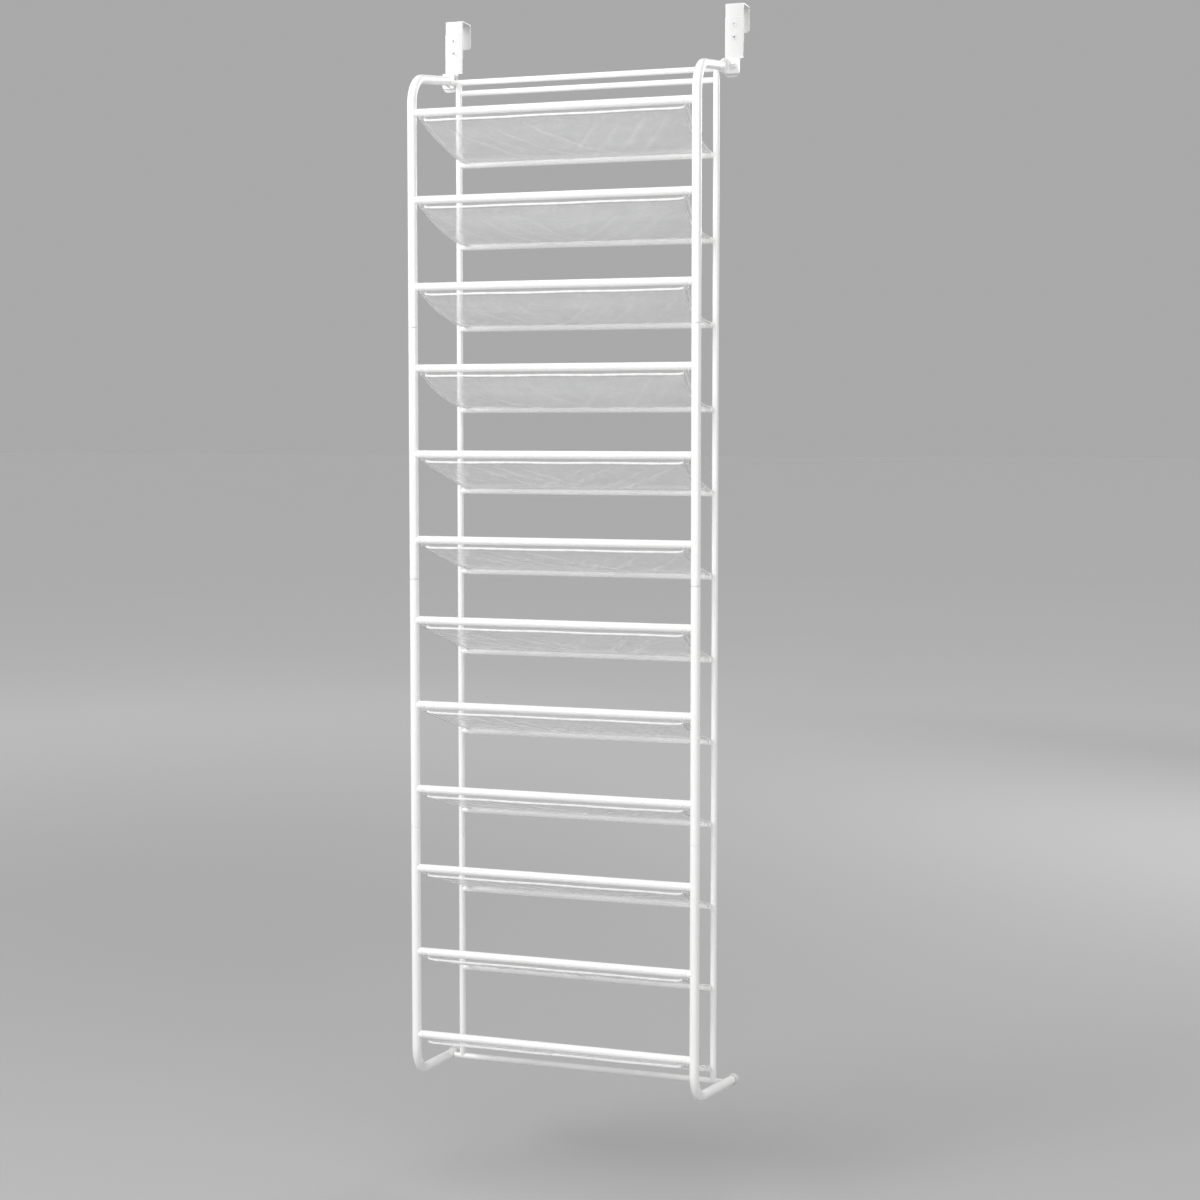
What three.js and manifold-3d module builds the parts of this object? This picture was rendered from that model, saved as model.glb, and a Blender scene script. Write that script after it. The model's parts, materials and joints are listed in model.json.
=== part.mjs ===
// An over-the-door shoe rack: twelve fabric slings between two bent side tubes, hung on two hooks.
// Millimetres. The origin is on the door's top front edge, midway between the hooks:
// +X runs along the door, +Y goes into the door, +Z is up, so the rack hangs at negative Y and Z.
import * as THREE from "three";
import { mergeVertices } from "three/addons/utils/BufferGeometryUtils.js";
import Module from "manifold-3d";

const wasm = await Module();
wasm.setup();

// Tiers: the front rails come in plug-together sections of three, the rear rails are evenly spaced.
const TIERS = 12;
const TIERS_PER_SECTION = 3;
const SECTIONS = TIERS / TIERS_PER_SECTION;
const FRONT_TOP_Z = -190;
const FRONT_PITCH = 145;
const FRONT_PITCH_ACROSS_JOINT = 137;
const REAR_TOP_Z = -257;
const REAR_PITCH = 143;

// Where the two vertical planes of the rack are.
const FRONT_Y = -212;
const REAR_Y = -36;
const FRONT_HALF_WIDTH = 248;
const REAR_HALF_WIDTH = 234;

// Tube sizes, as outside radius and wall.
const SIDE_RADIUS = 8;
const FRONT_RAIL_RADIUS = 6.75;
const REAR_UPRIGHT_RADIUS = 5.5;
const REAR_RAIL_RADIUS = 5;
const TUBE_WALL = 0.8;
const GAP = 0.3;

// The legs of the side tubes run back towards the door and spread apart in height.
const LEG_SLOPE = Math.tan(THREE.MathUtils.degToRad(7.5));
const LEG_REFERENCE_Y = -20;
const TOP_LEG_Z = -108;
const BOTTOM_LEG_Z = -1852;
const BOTTOM_LEG_SPREAD = 12;
const BEND_RADIUS = 50;
const BEND_STEPS = 6;

// Plug joints between the sections, and the spigots that the rails slide onto.
const NECK_RADIUS = 6.8;
const NECK_LENGTH = 25;
const SPIGOT_LENGTH = 7;
const FRONT_SPIGOT_RADIUS = 5.4;
const REAR_SPIGOT_RADIUS = 3.7;

// Cross rails of the rear frame, besides the twelve that hold slings.
const TOP_CROSS_Z = -112.5;
const SECOND_CROSS_Z = -131.5;
const BOTTOM_CROSS_Z = -1850;

// Door hooks: a hook plate over the door, and a strap in front of it that steps out to take the bolt.
// Two collars of the hook plate's own metal pass through the strap and hold the two together.
const DOOR_THICKNESS = 35;
const DOOR_CLEARANCE = 1;
const PLATE_THICKNESS = 2;
const PLATE_WIDTH = 32;
const HOOK_HALF_SPACING = 256;
const HOOK_BACK_DROP = 42;
const HOOK_FRONT_DROP = 66;
const STRAP_TOP_Z = -21;
const STRAP_JOG_Z = -90;
const COLLAR_ZS = [-33.5, -55.5];
const COLLAR_RADIUS = 3.6;
const COLLAR_BORE = 2.2;
const TAB_WIDTH = 27;
const TAB_BOTTOM_Z = -126;
const TAB_FRONT_Y = -20;
const TAB_CORNER = 9;

// The flattened end of the top leg and the bolt that clamps it to the tab.
const FLAT_HEIGHT = 25;
const FLAT_THICKNESS = 3;
const FLAT_START_Y = -58;
const BOLT_X = 259;
const BOLT_Z = -107;
const BOLT_RADIUS = 3;
const BOLT_HEAD_RADIUS = 5.2;
const BOLT_HEAD_HEIGHT = 3.4;
const BOLT_END_Y = -9;
const BOLT_HOLE_RADIUS = 3.1;
const NUT_RADIUS = 5.8;
const NUT_HEIGHT = 5;

// Feet: a moulded cap on the end of each bottom leg, cut to lie flat on the door.
const CAP_RADIUS = 10.3;
const CAP_LENGTH = 15;
const CAP_FLOOR = 4.5;

// Slings: one thickness of sheet that wraps round both rails. The upper ones have been used and sag
// more; the lower ones are still tight.
const SLING_HALF_WIDTH = 228;
const SLING_THICKNESS = 1.2;
const SLING_SAGS = [14, 20, 18, 20, 4, 5, 4, 4, 4, 3, 3, 3];
const SLING_STEPS = 8;
const SEAM_DROP = 13;
const SEAM_GAP = 0.5;
const SLEEVE_STEPS = 10;

const powderWhite = new THREE.MeshStandardMaterial({ color: 0xf2f2f0, roughness: 0.38, metalness: 0.0 });
const hookWhite = new THREE.MeshStandardMaterial({ color: 0xe8e8e6, roughness: 0.42, metalness: 0.0 });
const clearSheet = new THREE.MeshStandardMaterial({
  color: 0xe6e8ea,
  roughness: 0.3,
  metalness: 0.0,
  transparent: true,
  opacity: 0.4,
});
const capGrey = new THREE.MeshStandardMaterial({ color: 0xdad8d4, roughness: 0.6, metalness: 0.0 });
const zincSteel = new THREE.MeshStandardMaterial({ color: 0xc9cacc, roughness: 0.35, metalness: 0.9 });

const rack = new THREE.Group();

// A closed geometry as a solid that faces out.
function solid(geometry) {
  const bare = geometry.clone();
  bare.deleteAttribute("normal");
  bare.deleteAttribute("uv");
  const merged = mergeVertices(bare, 1e-4);
  const vertProperties = merged.attributes.position.array;
  const triVerts = new Uint32Array(merged.index.array);
  const made = new wasm.Manifold(new wasm.Mesh({ numProp: 3, vertProperties, triVerts }));
  if (made.volume() > 0) return made;
  const turned = triVerts.slice();
  for (let i = 0; i < turned.length; i += 3) {
    turned[i] = triVerts[i + 1];
    turned[i + 1] = triVerts[i];
  }
  return new wasm.Manifold(new wasm.Mesh({ numProp: 3, vertProperties, triVerts: turned }));
}

// A solid back as a geometry for a mesh.
function geometryOf(made) {
  const mesh = made.getMesh();
  const positions = new Float32Array(mesh.numVert * 3);
  for (let i = 0; i < mesh.numVert; i++) {
    positions.set(mesh.vertProperties.subarray(i * mesh.numProp, i * mesh.numProp + 3), i * 3);
  }
  const geometry = new THREE.BufferGeometry();
  geometry.setAttribute("position", new THREE.BufferAttribute(positions, 3));
  geometry.setIndex(new THREE.BufferAttribute(new Uint32Array(mesh.triVerts), 1));
  const flat = geometry.toNonIndexed();
  flat.computeVertexNormals();
  return flat;
}

function addPiece(name, made, material) {
  const mesh = new THREE.Mesh(geometryOf(made), material);
  mesh.name = name;
  rack.add(mesh);
  return mesh;
}

// A round bar between two points.
function bar(from, to, radius, sides) {
  const along = new THREE.Vector3().subVectors(to, from);
  const geometry = new THREE.CylinderGeometry(radius, radius, along.length(), sides);
  const up = new THREE.Vector3(0, 1, 0);
  geometry.applyQuaternion(new THREE.Quaternion().setFromUnitVectors(up, along.clone().normalize()));
  geometry.translate(...new THREE.Vector3().addVectors(from, to).multiplyScalar(0.5).toArray());
  return solid(geometry);
}

// A straight tube along X, open at both ends: its wall's section turned about the axis.
function crossTube(halfLength, y, z, radius, sides) {
  const inner = radius - TUBE_WALL;
  const section = [
    new THREE.Vector2(inner, -halfLength),
    new THREE.Vector2(radius, -halfLength),
    new THREE.Vector2(radius, halfLength),
    new THREE.Vector2(inner, halfLength),
    new THREE.Vector2(inner, -halfLength),
  ];
  const geometry = new THREE.LatheGeometry(section, sides);
  geometry.rotateZ(-Math.PI / 2);
  geometry.translate(0, y, z);
  return solid(geometry);
}

// The points of a path whose corners are rounded with arcs.
function roundedPath(corners, radius, steps) {
  const points = [corners[0].clone()];
  for (let i = 1; i < corners.length - 1; i++) {
    const before = new THREE.Vector3().subVectors(corners[i], corners[i - 1]).normalize();
    const after = new THREE.Vector3().subVectors(corners[i + 1], corners[i]).normalize();
    const angle = before.angleTo(after);
    const side = after.clone().addScaledVector(before, -before.dot(after)).normalize();
    const start = corners[i].clone().addScaledVector(before, -radius * Math.tan(angle / 2));
    const centre = start.clone().addScaledVector(side, radius);
    for (let k = 0; k <= steps; k++) {
      const turned = (angle * k) / steps;
      const point = centre.clone().addScaledVector(side, -radius * Math.cos(turned));
      points.push(point.addScaledVector(before, radius * Math.sin(turned)));
    }
  }
  points.push(corners.at(-1).clone());
  return points;
}

// A path through given stations, which an extrusion visits one by one.
class StationPath extends THREE.Curve {
  constructor(stations) {
    super();
    this.stations = stations;
  }
  getPoint(t, target = new THREE.Vector3()) {
    const last = this.stations.length - 1;
    const index = Math.min(Math.floor(t * last), last - 1);
    return target.lerpVectors(this.stations[index], this.stations[index + 1], t * last - index);
  }
  getUtoTmapping(u) {
    return u;
  }
}

function circle(radius, sides) {
  const points = [];
  for (let i = 0; i < sides; i++) {
    const angle = (2 * Math.PI * i) / sides;
    points.push(new THREE.Vector2(radius * Math.cos(angle), radius * Math.sin(angle)));
  }
  return new THREE.Shape(points);
}

function sweep(stations, radius, sides) {
  const extrudePath = new StationPath(stations);
  const options = { steps: stations.length - 1, extrudePath };
  return solid(new THREE.ExtrudeGeometry(circle(radius, sides), options));
}

// The outline of a strip of sheet that follows a path drawn in the X-Y plane.
function stripShape(path, thickness) {
  const left = [];
  const right = [];
  path.forEach((point, i) => {
    const before = path[Math.max(i - 1, 0)];
    const after = path[Math.min(i + 1, path.length - 1)];
    const along = new THREE.Vector2(after.x - before.x, after.y - before.y).normalize();
    left.push(new THREE.Vector2(point.x - (along.y * thickness) / 2, point.y + (along.x * thickness) / 2));
    right.push(new THREE.Vector2(point.x + (along.y * thickness) / 2, point.y - (along.x * thickness) / 2));
  });
  return new THREE.Shape([...left, ...right.reverse()]);
}

// A shape whose two directions are Y and Z, given a width along X.
function extrudeAlongX(shape, fromX, toX) {
  const geometry = new THREE.ExtrudeGeometry(shape, { depth: toX - fromX, bevelEnabled: false });
  const axes = new THREE.Matrix4().makeBasis(
    new THREE.Vector3(0, 1, 0),
    new THREE.Vector3(0, 0, 1),
    new THREE.Vector3(1, 0, 0),
  );
  geometry.applyMatrix4(axes);
  geometry.translate(fromX, 0, 0);
  return solid(geometry);
}

// The tab that takes the bolt: a plate parallel to the door whose two lower corners are round.
function boltTab(middleX) {
  const low = middleX - TAB_WIDTH / 2;
  const high = middleX + TAB_WIDTH / 2;
  const top = STRAP_JOG_Z - 6;
  const shape = new THREE.Shape();
  shape.moveTo(low + TAB_CORNER, TAB_BOTTOM_Z);
  shape.lineTo(high - TAB_CORNER, TAB_BOTTOM_Z);
  shape.absarc(high - TAB_CORNER, TAB_BOTTOM_Z + TAB_CORNER, TAB_CORNER, -Math.PI / 2, 0);
  shape.lineTo(high, top);
  shape.lineTo(low, top);
  shape.lineTo(low, TAB_BOTTOM_Z + TAB_CORNER);
  shape.absarc(low + TAB_CORNER, TAB_BOTTOM_Z + TAB_CORNER, TAB_CORNER, Math.PI, 1.5 * Math.PI);
  const options = { depth: PLATE_THICKNESS, bevelEnabled: false, curveSegments: 5 };
  const geometry = new THREE.ExtrudeGeometry(shape, options);
  geometry.rotateX(Math.PI / 2);
  geometry.translate(0, TAB_FRONT_Y + PLATE_THICKNESS, 0);
  return solid(geometry);
}

function frontRailZ(tier) {
  const joints = Math.floor(tier / TIERS_PER_SECTION);
  return FRONT_TOP_Z - tier * FRONT_PITCH + joints * (FRONT_PITCH - FRONT_PITCH_ACROSS_JOINT);
}

function rearRailZ(tier) {
  return REAR_TOP_Z - tier * REAR_PITCH;
}

// The plug joint below a section, midway between two rails.
function jointZ(section) {
  const lastTier = (section + 1) * TIERS_PER_SECTION - 1;
  return (frontRailZ(lastTier) + frontRailZ(lastTier + 1)) / 2;
}

// A point on a leg's centre line; the bottom legs also spread sideways as they go back.
function topLegPoint(side, y) {
  const z = TOP_LEG_Z + (y - LEG_REFERENCE_Y) * LEG_SLOPE;
  return new THREE.Vector3(side * FRONT_HALF_WIDTH, y, z);
}

function bottomLegPoint(side, y) {
  const x = FRONT_HALF_WIDTH + (BOTTOM_LEG_SPREAD * (y - FRONT_Y)) / (LEG_REFERENCE_Y - FRONT_Y);
  const z = BOTTOM_LEG_Z - (y - LEG_REFERENCE_Y) * LEG_SLOPE;
  return new THREE.Vector3(side * x, y, z);
}

function frontPoint(side, z) {
  return new THREE.Vector3(side * FRONT_HALF_WIDTH, FRONT_Y, z);
}

// The stations of one section of a side tube, from its upper end to its lower end.
function sectionStations(side, section) {
  const upper = section > 0 ? [frontPoint(side, jointZ(section - 1))] : [];
  const lower = section < SECTIONS - 1 ? [frontPoint(side, jointZ(section) + GAP)] : [];
  if (section === 0) upper.push(topLegPoint(side, FLAT_START_Y + 4), topLegPoint(side, FRONT_Y));
  if (section === SECTIONS - 1) {
    lower.push(bottomLegPoint(side, FRONT_Y), bottomLegPoint(side, -CAP_FLOOR - 2));
  }
  return roundedPath([...upper, ...lower], BEND_RADIUS, BEND_STEPS);
}

// The pressed end of a top leg: flat on edge where it leaves the tube, then bent to lie along the door.
function flattenedEnd(side) {
  const legX = side * FRONT_HALF_WIDTH;
  const middleY = TAB_FRONT_Y - GAP - FLAT_THICKNESS / 2;
  const corners = [
    new THREE.Vector3(legX, FLAT_START_Y + 12, 0),
    new THREE.Vector3(legX, middleY, 0),
    new THREE.Vector3(side * (BOLT_X + 11), middleY, 0),
  ];
  const shape = stripShape(roundedPath(corners, 3, 3), FLAT_THICKNESS);
  const bent = new THREE.ExtrudeGeometry(shape, { depth: FLAT_HEIGHT, bevelEnabled: false });
  bent.translate(0, 0, BOLT_Z - FLAT_HEIGHT / 2);
  const leg = topLegPoint(side, FLAT_START_Y);
  const onEdge = new THREE.Shape([
    new THREE.Vector2(FLAT_START_Y - 4, leg.z - 5),
    new THREE.Vector2(FLAT_START_Y + 15, BOLT_Z - FLAT_HEIGHT / 2 + 0.4),
    new THREE.Vector2(FLAT_START_Y + 15, BOLT_Z + FLAT_HEIGHT / 2 - 0.4),
    new THREE.Vector2(FLAT_START_Y - 4, leg.z + 5),
  ]);
  const web = extrudeAlongX(onEdge, legX - 1.2, legX + 1.2);
  return solid(bent).add(web).subtract(boltHole(side));
}

function boltHole(side) {
  const from = new THREE.Vector3(side * BOLT_X, TAB_FRONT_Y - 10, BOLT_Z);
  const to = new THREE.Vector3(side * BOLT_X, TAB_FRONT_Y + 10, BOLT_Z);
  return bar(from, to, BOLT_HOLE_RADIUS, 12);
}

// A spigot that stands out of an upright towards the middle of the rack.
function spigot(side, halfWidth, y, z, tubeRadius, radius) {
  const from = new THREE.Vector3(side * (halfWidth - tubeRadius + TUBE_WALL), y, z);
  const to = new THREE.Vector3(side * (halfWidth - tubeRadius - SPIGOT_LENGTH), y, z);
  return bar(from, to, radius, 8);
}

function sideTube(side, section) {
  const stations = sectionStations(side, section);
  const sides = 12;
  let made = sweep(stations, SIDE_RADIUS, sides);
  if (section < SECTIONS - 1) {
    const end = jointZ(section);
    const neck = bar(frontPoint(side, end + 2), frontPoint(side, end - NECK_LENGTH), NECK_RADIUS, sides);
    made = made.add(neck);
  }
  const firstTier = section * TIERS_PER_SECTION;
  for (let tier = firstTier; tier < firstTier + TIERS_PER_SECTION; tier++) {
    const z = frontRailZ(tier);
    made = made.add(spigot(side, FRONT_HALF_WIDTH, FRONT_Y, z, SIDE_RADIUS, FRONT_SPIGOT_RADIUS));
  }
  const boreRadius = SIDE_RADIUS - TUBE_WALL;
  const bored = stations.map((point) => point.clone());
  if (section === 0) bored[0] = topLegPoint(side, FLAT_START_Y - 8);
  if (section < SECTIONS - 1) {
    const end = jointZ(section);
    bored[bored.length - 1].z = end + 6;
    const neckBore = NECK_RADIUS - TUBE_WALL;
    made = made.subtract(bar(frontPoint(side, end + 8), frontPoint(side, end - 40), neckBore, sides));
  } else {
    bored[bored.length - 1] = bottomLegPoint(side, 10);
  }
  if (section > 0) bored[0].z += 5;
  made = made.subtract(sweep(bored, boreRadius, sides));
  if (section === 0) made = made.add(flattenedEnd(side));
  return made;
}

function rearUpright(side) {
  const top = TOP_CROSS_Z - REAR_RAIL_RADIUS - GAP;
  const bottom = BOTTOM_CROSS_Z + REAR_RAIL_RADIUS + GAP;
  const x = side * REAR_HALF_WIDTH;
  const at = (z) => new THREE.Vector3(x, REAR_Y, z);
  let made = bar(at(top), at(bottom), REAR_UPRIGHT_RADIUS, 10);
  made = made.subtract(bar(at(top + 5), at(bottom - 5), REAR_UPRIGHT_RADIUS - TUBE_WALL, 10));
  for (let tier = -1; tier < TIERS; tier++) {
    const z = tier < 0 ? SECOND_CROSS_Z : rearRailZ(tier);
    made = made.add(spigot(side, REAR_HALF_WIDTH, REAR_Y, z, REAR_UPRIGHT_RADIUS, REAR_SPIGOT_RADIUS));
  }
  return made;
}

// The two collars, or the clearance holes for them, as round bars through the plates.
function collarBars(side, fromY, radius) {
  const x = side * HOOK_HALF_SPACING;
  const at = (y, z) => new THREE.Vector3(x, y, z);
  const bars = COLLAR_ZS.map((z) => bar(at(fromY, z), at(6, z), radius, 12));
  return bars[0].add(bars[1]);
}

function doorHook(side) {
  const half = PLATE_THICKNESS / 2;
  const backY = DOOR_THICKNESS + DOOR_CLEARANCE + half;
  const corners = [
    new THREE.Vector3(backY, -HOOK_BACK_DROP, 0),
    new THREE.Vector3(backY, half, 0),
    new THREE.Vector3(-half, half, 0),
    new THREE.Vector3(-half, -HOOK_FRONT_DROP, 0),
  ];
  const shape = stripShape(roundedPath(corners, 1.4, 3), PLATE_THICKNESS);
  const x = side * HOOK_HALF_SPACING;
  const hook = extrudeAlongX(shape, x - PLATE_WIDTH / 2, x + PLATE_WIDTH / 2);
  const faceY = -2 * PLATE_THICKNESS - GAP;
  const door = new THREE.BoxGeometry(60, DOOR_THICKNESS + DOOR_CLEARANCE, 80);
  door.translate(x, (DOOR_THICKNESS + DOOR_CLEARANCE) / 2, -40);
  const collars = collarBars(side, faceY, COLLAR_RADIUS).subtract(solid(door));
  return hook.add(collars).subtract(collarBars(side, faceY - 5, COLLAR_BORE));
}

function hookStrap(side) {
  const half = PLATE_THICKNESS / 2;
  const nearY = -PLATE_THICKNESS - GAP - half;
  const corners = [
    new THREE.Vector3(nearY, STRAP_TOP_Z, 0),
    new THREE.Vector3(nearY, STRAP_JOG_Z, 0),
    new THREE.Vector3(TAB_FRONT_Y + half, STRAP_JOG_Z - 3, 0),
    new THREE.Vector3(TAB_FRONT_Y + half, STRAP_JOG_Z - 10, 0),
  ];
  const shape = stripShape(roundedPath(corners, 1.4, 2), PLATE_THICKNESS);
  const x = side * HOOK_HALF_SPACING;
  const strap = extrudeAlongX(shape, x - PLATE_WIDTH / 2, x + PLATE_WIDTH / 2);
  const collarHoles = collarBars(side, -9, COLLAR_RADIUS + GAP);
  return strap.add(boltTab(x)).subtract(boltHole(side)).subtract(collarHoles);
}

// A pan-head bolt, as its half section turned about the bolt's axis.
function hookBolt(side) {
  const headBack = TAB_FRONT_Y - 2 * GAP - FLAT_THICKNESS;
  const headFront = headBack - BOLT_HEAD_HEIGHT;
  const section = [
    new THREE.Vector2(0, headFront),
    new THREE.Vector2(BOLT_HEAD_RADIUS * 0.7, headFront),
    new THREE.Vector2(BOLT_HEAD_RADIUS, headFront + 1.3),
    new THREE.Vector2(BOLT_HEAD_RADIUS, headBack),
    new THREE.Vector2(BOLT_RADIUS, headBack),
    new THREE.Vector2(BOLT_RADIUS, BOLT_END_Y),
    new THREE.Vector2(0, BOLT_END_Y),
  ];
  const geometry = new THREE.LatheGeometry(section, 18);
  geometry.translate(side * BOLT_X, 0, BOLT_Z);
  return solid(geometry);
}

function hookNut(side) {
  const frontY = TAB_FRONT_Y + PLATE_THICKNESS + GAP;
  const at = (y) => new THREE.Vector3(side * BOLT_X, y, BOLT_Z);
  const body = bar(at(frontY), at(frontY + NUT_HEIGHT), NUT_RADIUS, 6);
  return body.subtract(bar(at(frontY - 5), at(frontY + NUT_HEIGHT + 5), BOLT_RADIUS + GAP, 18));
}

function footCap(side) {
  const mouth = bottomLegPoint(side, -CAP_LENGTH);
  const past = bottomLegPoint(side, 12);
  const outside = bar(mouth, past, CAP_RADIUS, 24);
  const beforeMouth = bottomLegPoint(side, -CAP_LENGTH - 10);
  const socket = bar(beforeMouth, bottomLegPoint(side, -CAP_FLOOR), SIDE_RADIUS + GAP, 20);
  const door = new THREE.BoxGeometry(60, 30, 60);
  door.translate(past.x, 15, past.z);
  return outside.subtract(socket).subtract(solid(door));
}

// Points on a circle round a rail, as Y and Z, from one angle to another in degrees.
function sleeve(y, z, radius, from, to) {
  const points = [];
  for (let i = 0; i <= SLEEVE_STEPS; i++) {
    const angle = THREE.MathUtils.degToRad(from + ((to - from) * i) / SLEEVE_STEPS);
    points.push(new THREE.Vector2(y + radius * Math.cos(angle), z + radius * Math.sin(angle)));
  }
  return points;
}

// The sling's section, as Y and Z: a sleeve round the front rail with its seam below, the sagging sheet,
// and a sleeve round the rear rail that the sheet enters over the rail's top.
function slingPath(tier) {
  const clear = SLING_THICKNESS / 2 + GAP;
  const frontWrap = FRONT_RAIL_RADIUS + clear;
  const rearWrap = REAR_RAIL_RADIUS + clear;
  const seamHalf = (SLING_THICKNESS + SEAM_GAP) / 2;
  const seamZ = frontRailZ(tier) - SEAM_DROP;
  const startY = FRONT_Y + seamHalf;
  const drop = rearRailZ(tier) + rearWrap - seamZ;
  const arriving = Math.atan((drop + 4 * SLING_SAGS[tier]) / (REAR_Y - startY));
  const topAngle = 90 + THREE.MathUtils.radToDeg(arriving);
  const rearSleeve = sleeve(REAR_Y, rearRailZ(tier), rearWrap, topAngle, -190);
  const end = rearSleeve[0];
  const points = [new THREE.Vector2(FRONT_Y - seamHalf, seamZ)];
  points.push(...sleeve(FRONT_Y, frontRailZ(tier), frontWrap, 225, -45));
  for (let i = 0; i < SLING_STEPS; i++) {
    const t = i / SLING_STEPS;
    const z = seamZ + (end.y - seamZ) * t - 4 * SLING_SAGS[tier] * t * (1 - t);
    points.push(new THREE.Vector2(startY + (end.x - startY) * t, z));
  }
  return [...points, ...rearSleeve];
}

function sling(tier) {
  const shape = stripShape(slingPath(tier), SLING_THICKNESS);
  return extrudeAlongX(shape, -SLING_HALF_WIDTH, SLING_HALF_WIDTH);
}

function twoDigits(number) {
  return String(number).padStart(2, "0");
}

for (const [side, word] of [[-1, "left"], [1, "right"]]) {
  for (let section = 0; section < SECTIONS; section++) {
    addPiece(`side_tube_${word}_${section + 1}`, sideTube(side, section), powderWhite);
  }
  addPiece(`rear_upright_${word}`, rearUpright(side), powderWhite);
  addPiece(`door_hook_${word}`, doorHook(side), hookWhite);
  addPiece(`hook_strap_${word}`, hookStrap(side), hookWhite);
  addPiece(`hook_bolt_${word}`, hookBolt(side), zincSteel);
  addPiece(`hook_nut_${word}`, hookNut(side), zincSteel);
  addPiece(`foot_cap_${word}`, footCap(side), capGrey);
}

const frontRailHalf = FRONT_HALF_WIDTH - SIDE_RADIUS - GAP;
const rearRailHalf = REAR_HALF_WIDTH - REAR_UPRIGHT_RADIUS - GAP;
for (let tier = 0; tier < TIERS; tier++) {
  const number = twoDigits(tier + 1);
  const front = crossTube(frontRailHalf, FRONT_Y, frontRailZ(tier), FRONT_RAIL_RADIUS, 16);
  addPiece(`front_rail_${number}`, front, powderWhite);
  const rear = crossTube(rearRailHalf, REAR_Y, rearRailZ(tier), REAR_RAIL_RADIUS, 12);
  addPiece(`rear_rail_${number}`, rear, powderWhite);
  addPiece(`sling_${number}`, sling(tier), clearSheet);
}

const topLegInside = FRONT_HALF_WIDTH - FLAT_THICKNESS / 2 - GAP;
const bottomLegInside = bottomLegPoint(1, REAR_Y).x - SIDE_RADIUS - 2 * GAP;
for (const [name, halfLength, z] of [
  ["top_cross_rail", topLegInside, TOP_CROSS_Z],
  ["second_cross_rail", rearRailHalf, SECOND_CROSS_Z],
  ["bottom_cross_rail", bottomLegInside, BOTTOM_CROSS_Z],
]) {
  addPiece(name, crossTube(halfLength, REAR_Y, z, REAR_RAIL_RADIUS, 12), powderWhite);
}

export default rack;
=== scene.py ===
"""A tall shoe rack that hangs over a door: bent white tubes, see-through slings and two door hooks.

Every piece is made on the rack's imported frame, in metres, with +Z up and +Y going into the door.
"""

import json
import math

import bpy
import numpy as np
from bpy.props import FloatProperty, FloatVectorProperty, IntProperty, PointerProperty
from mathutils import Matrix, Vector


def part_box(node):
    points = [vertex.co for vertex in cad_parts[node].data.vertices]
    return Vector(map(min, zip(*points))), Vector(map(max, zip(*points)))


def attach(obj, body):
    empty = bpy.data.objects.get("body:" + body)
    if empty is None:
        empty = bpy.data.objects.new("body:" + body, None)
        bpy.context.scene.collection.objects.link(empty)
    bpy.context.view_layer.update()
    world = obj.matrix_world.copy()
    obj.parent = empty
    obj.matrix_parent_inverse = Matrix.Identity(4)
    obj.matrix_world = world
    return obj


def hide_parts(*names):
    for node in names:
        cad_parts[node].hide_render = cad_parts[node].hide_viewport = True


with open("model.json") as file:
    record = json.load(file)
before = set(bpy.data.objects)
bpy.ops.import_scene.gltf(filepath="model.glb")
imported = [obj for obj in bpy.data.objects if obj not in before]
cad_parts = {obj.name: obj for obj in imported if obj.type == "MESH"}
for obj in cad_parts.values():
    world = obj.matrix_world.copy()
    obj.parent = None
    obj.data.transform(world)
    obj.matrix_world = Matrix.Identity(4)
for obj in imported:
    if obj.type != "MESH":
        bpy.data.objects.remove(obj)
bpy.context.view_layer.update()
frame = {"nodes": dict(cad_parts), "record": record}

bl_info = {
    "name": "Over-Door Shoe Rack",
    "version": (1, 0, 0),
    "blender": (4, 5, 0),
    "location": "View3D > Sidebar > Shoe Rack",
    "description": "Builds a hanging shoe rack of bent tubes and see-through slings",
    "category": "Add Mesh",
}

TIERS = sum(name.startswith("front_rail_") for name in frame["nodes"])
SECTIONS = sum(name.startswith("side_tube_left_") for name in frame["nodes"])
SIDES = {"left": -1.0, "right": 1.0}
UP = np.array([0.0, 0.0, 1.0])
ALONG_DOOR = np.array([1.0, 0.0, 0.0])

JOINT_GAP = 0.0002  # between the ends of two tubes that meet
PRESS_LENGTH = 0.016  # of the taper from a round top leg to its pressed end
PLUG_STEP = 0.0005  # how much a tube's radius narrows at a plug joint
PLATE_EDGE = 0.00055  # radius of the rounded edges of the hooks' metal
HOOK_BACK_END = -0.042  # height at which a hook ends behind the door
COLLAR_RADIUS = 0.0034  # of a collar where it passes through the strap
COLLAR_HOLE = 0.0038  # radius of the strap's holes for the collars
BOLT_HOLE = 0.0031  # radius of the strap's hole for the bolt
BOLT_ROOT, BOLT_THREAD, BOLT_PITCH = 0.0026, 0.0004, 0.0010
HEM_THICKNESS = 0.0007
SEAM_HEIGHT, SEAM_THICKNESS, BEAD_THICKNESS = 0.0034, 0.0017, 0.0012
STITCH_RADIUS, STITCH_SHARE = 0.00024, 0.72  # a stitch's length is this share of the pitch
SLEEVE_STEPS, SPAN_STEPS = 26, 64  # rows of the film round a rail, and between the rails
CAP_RADIUS, CAP_LENGTH = 0.0103, 0.0152


def node_box(name):
    """The lowest corner, highest corner and middle of a frame node, as arrays."""
    low, high = (np.array(corner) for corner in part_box(name))
    return low, high, (low + high) / 2


def tier_names(part):
    return [f"{part}_{number:02d}" for number in range(1, TIERS + 1)]


# ---------------------------------------------------------------- settings


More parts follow.
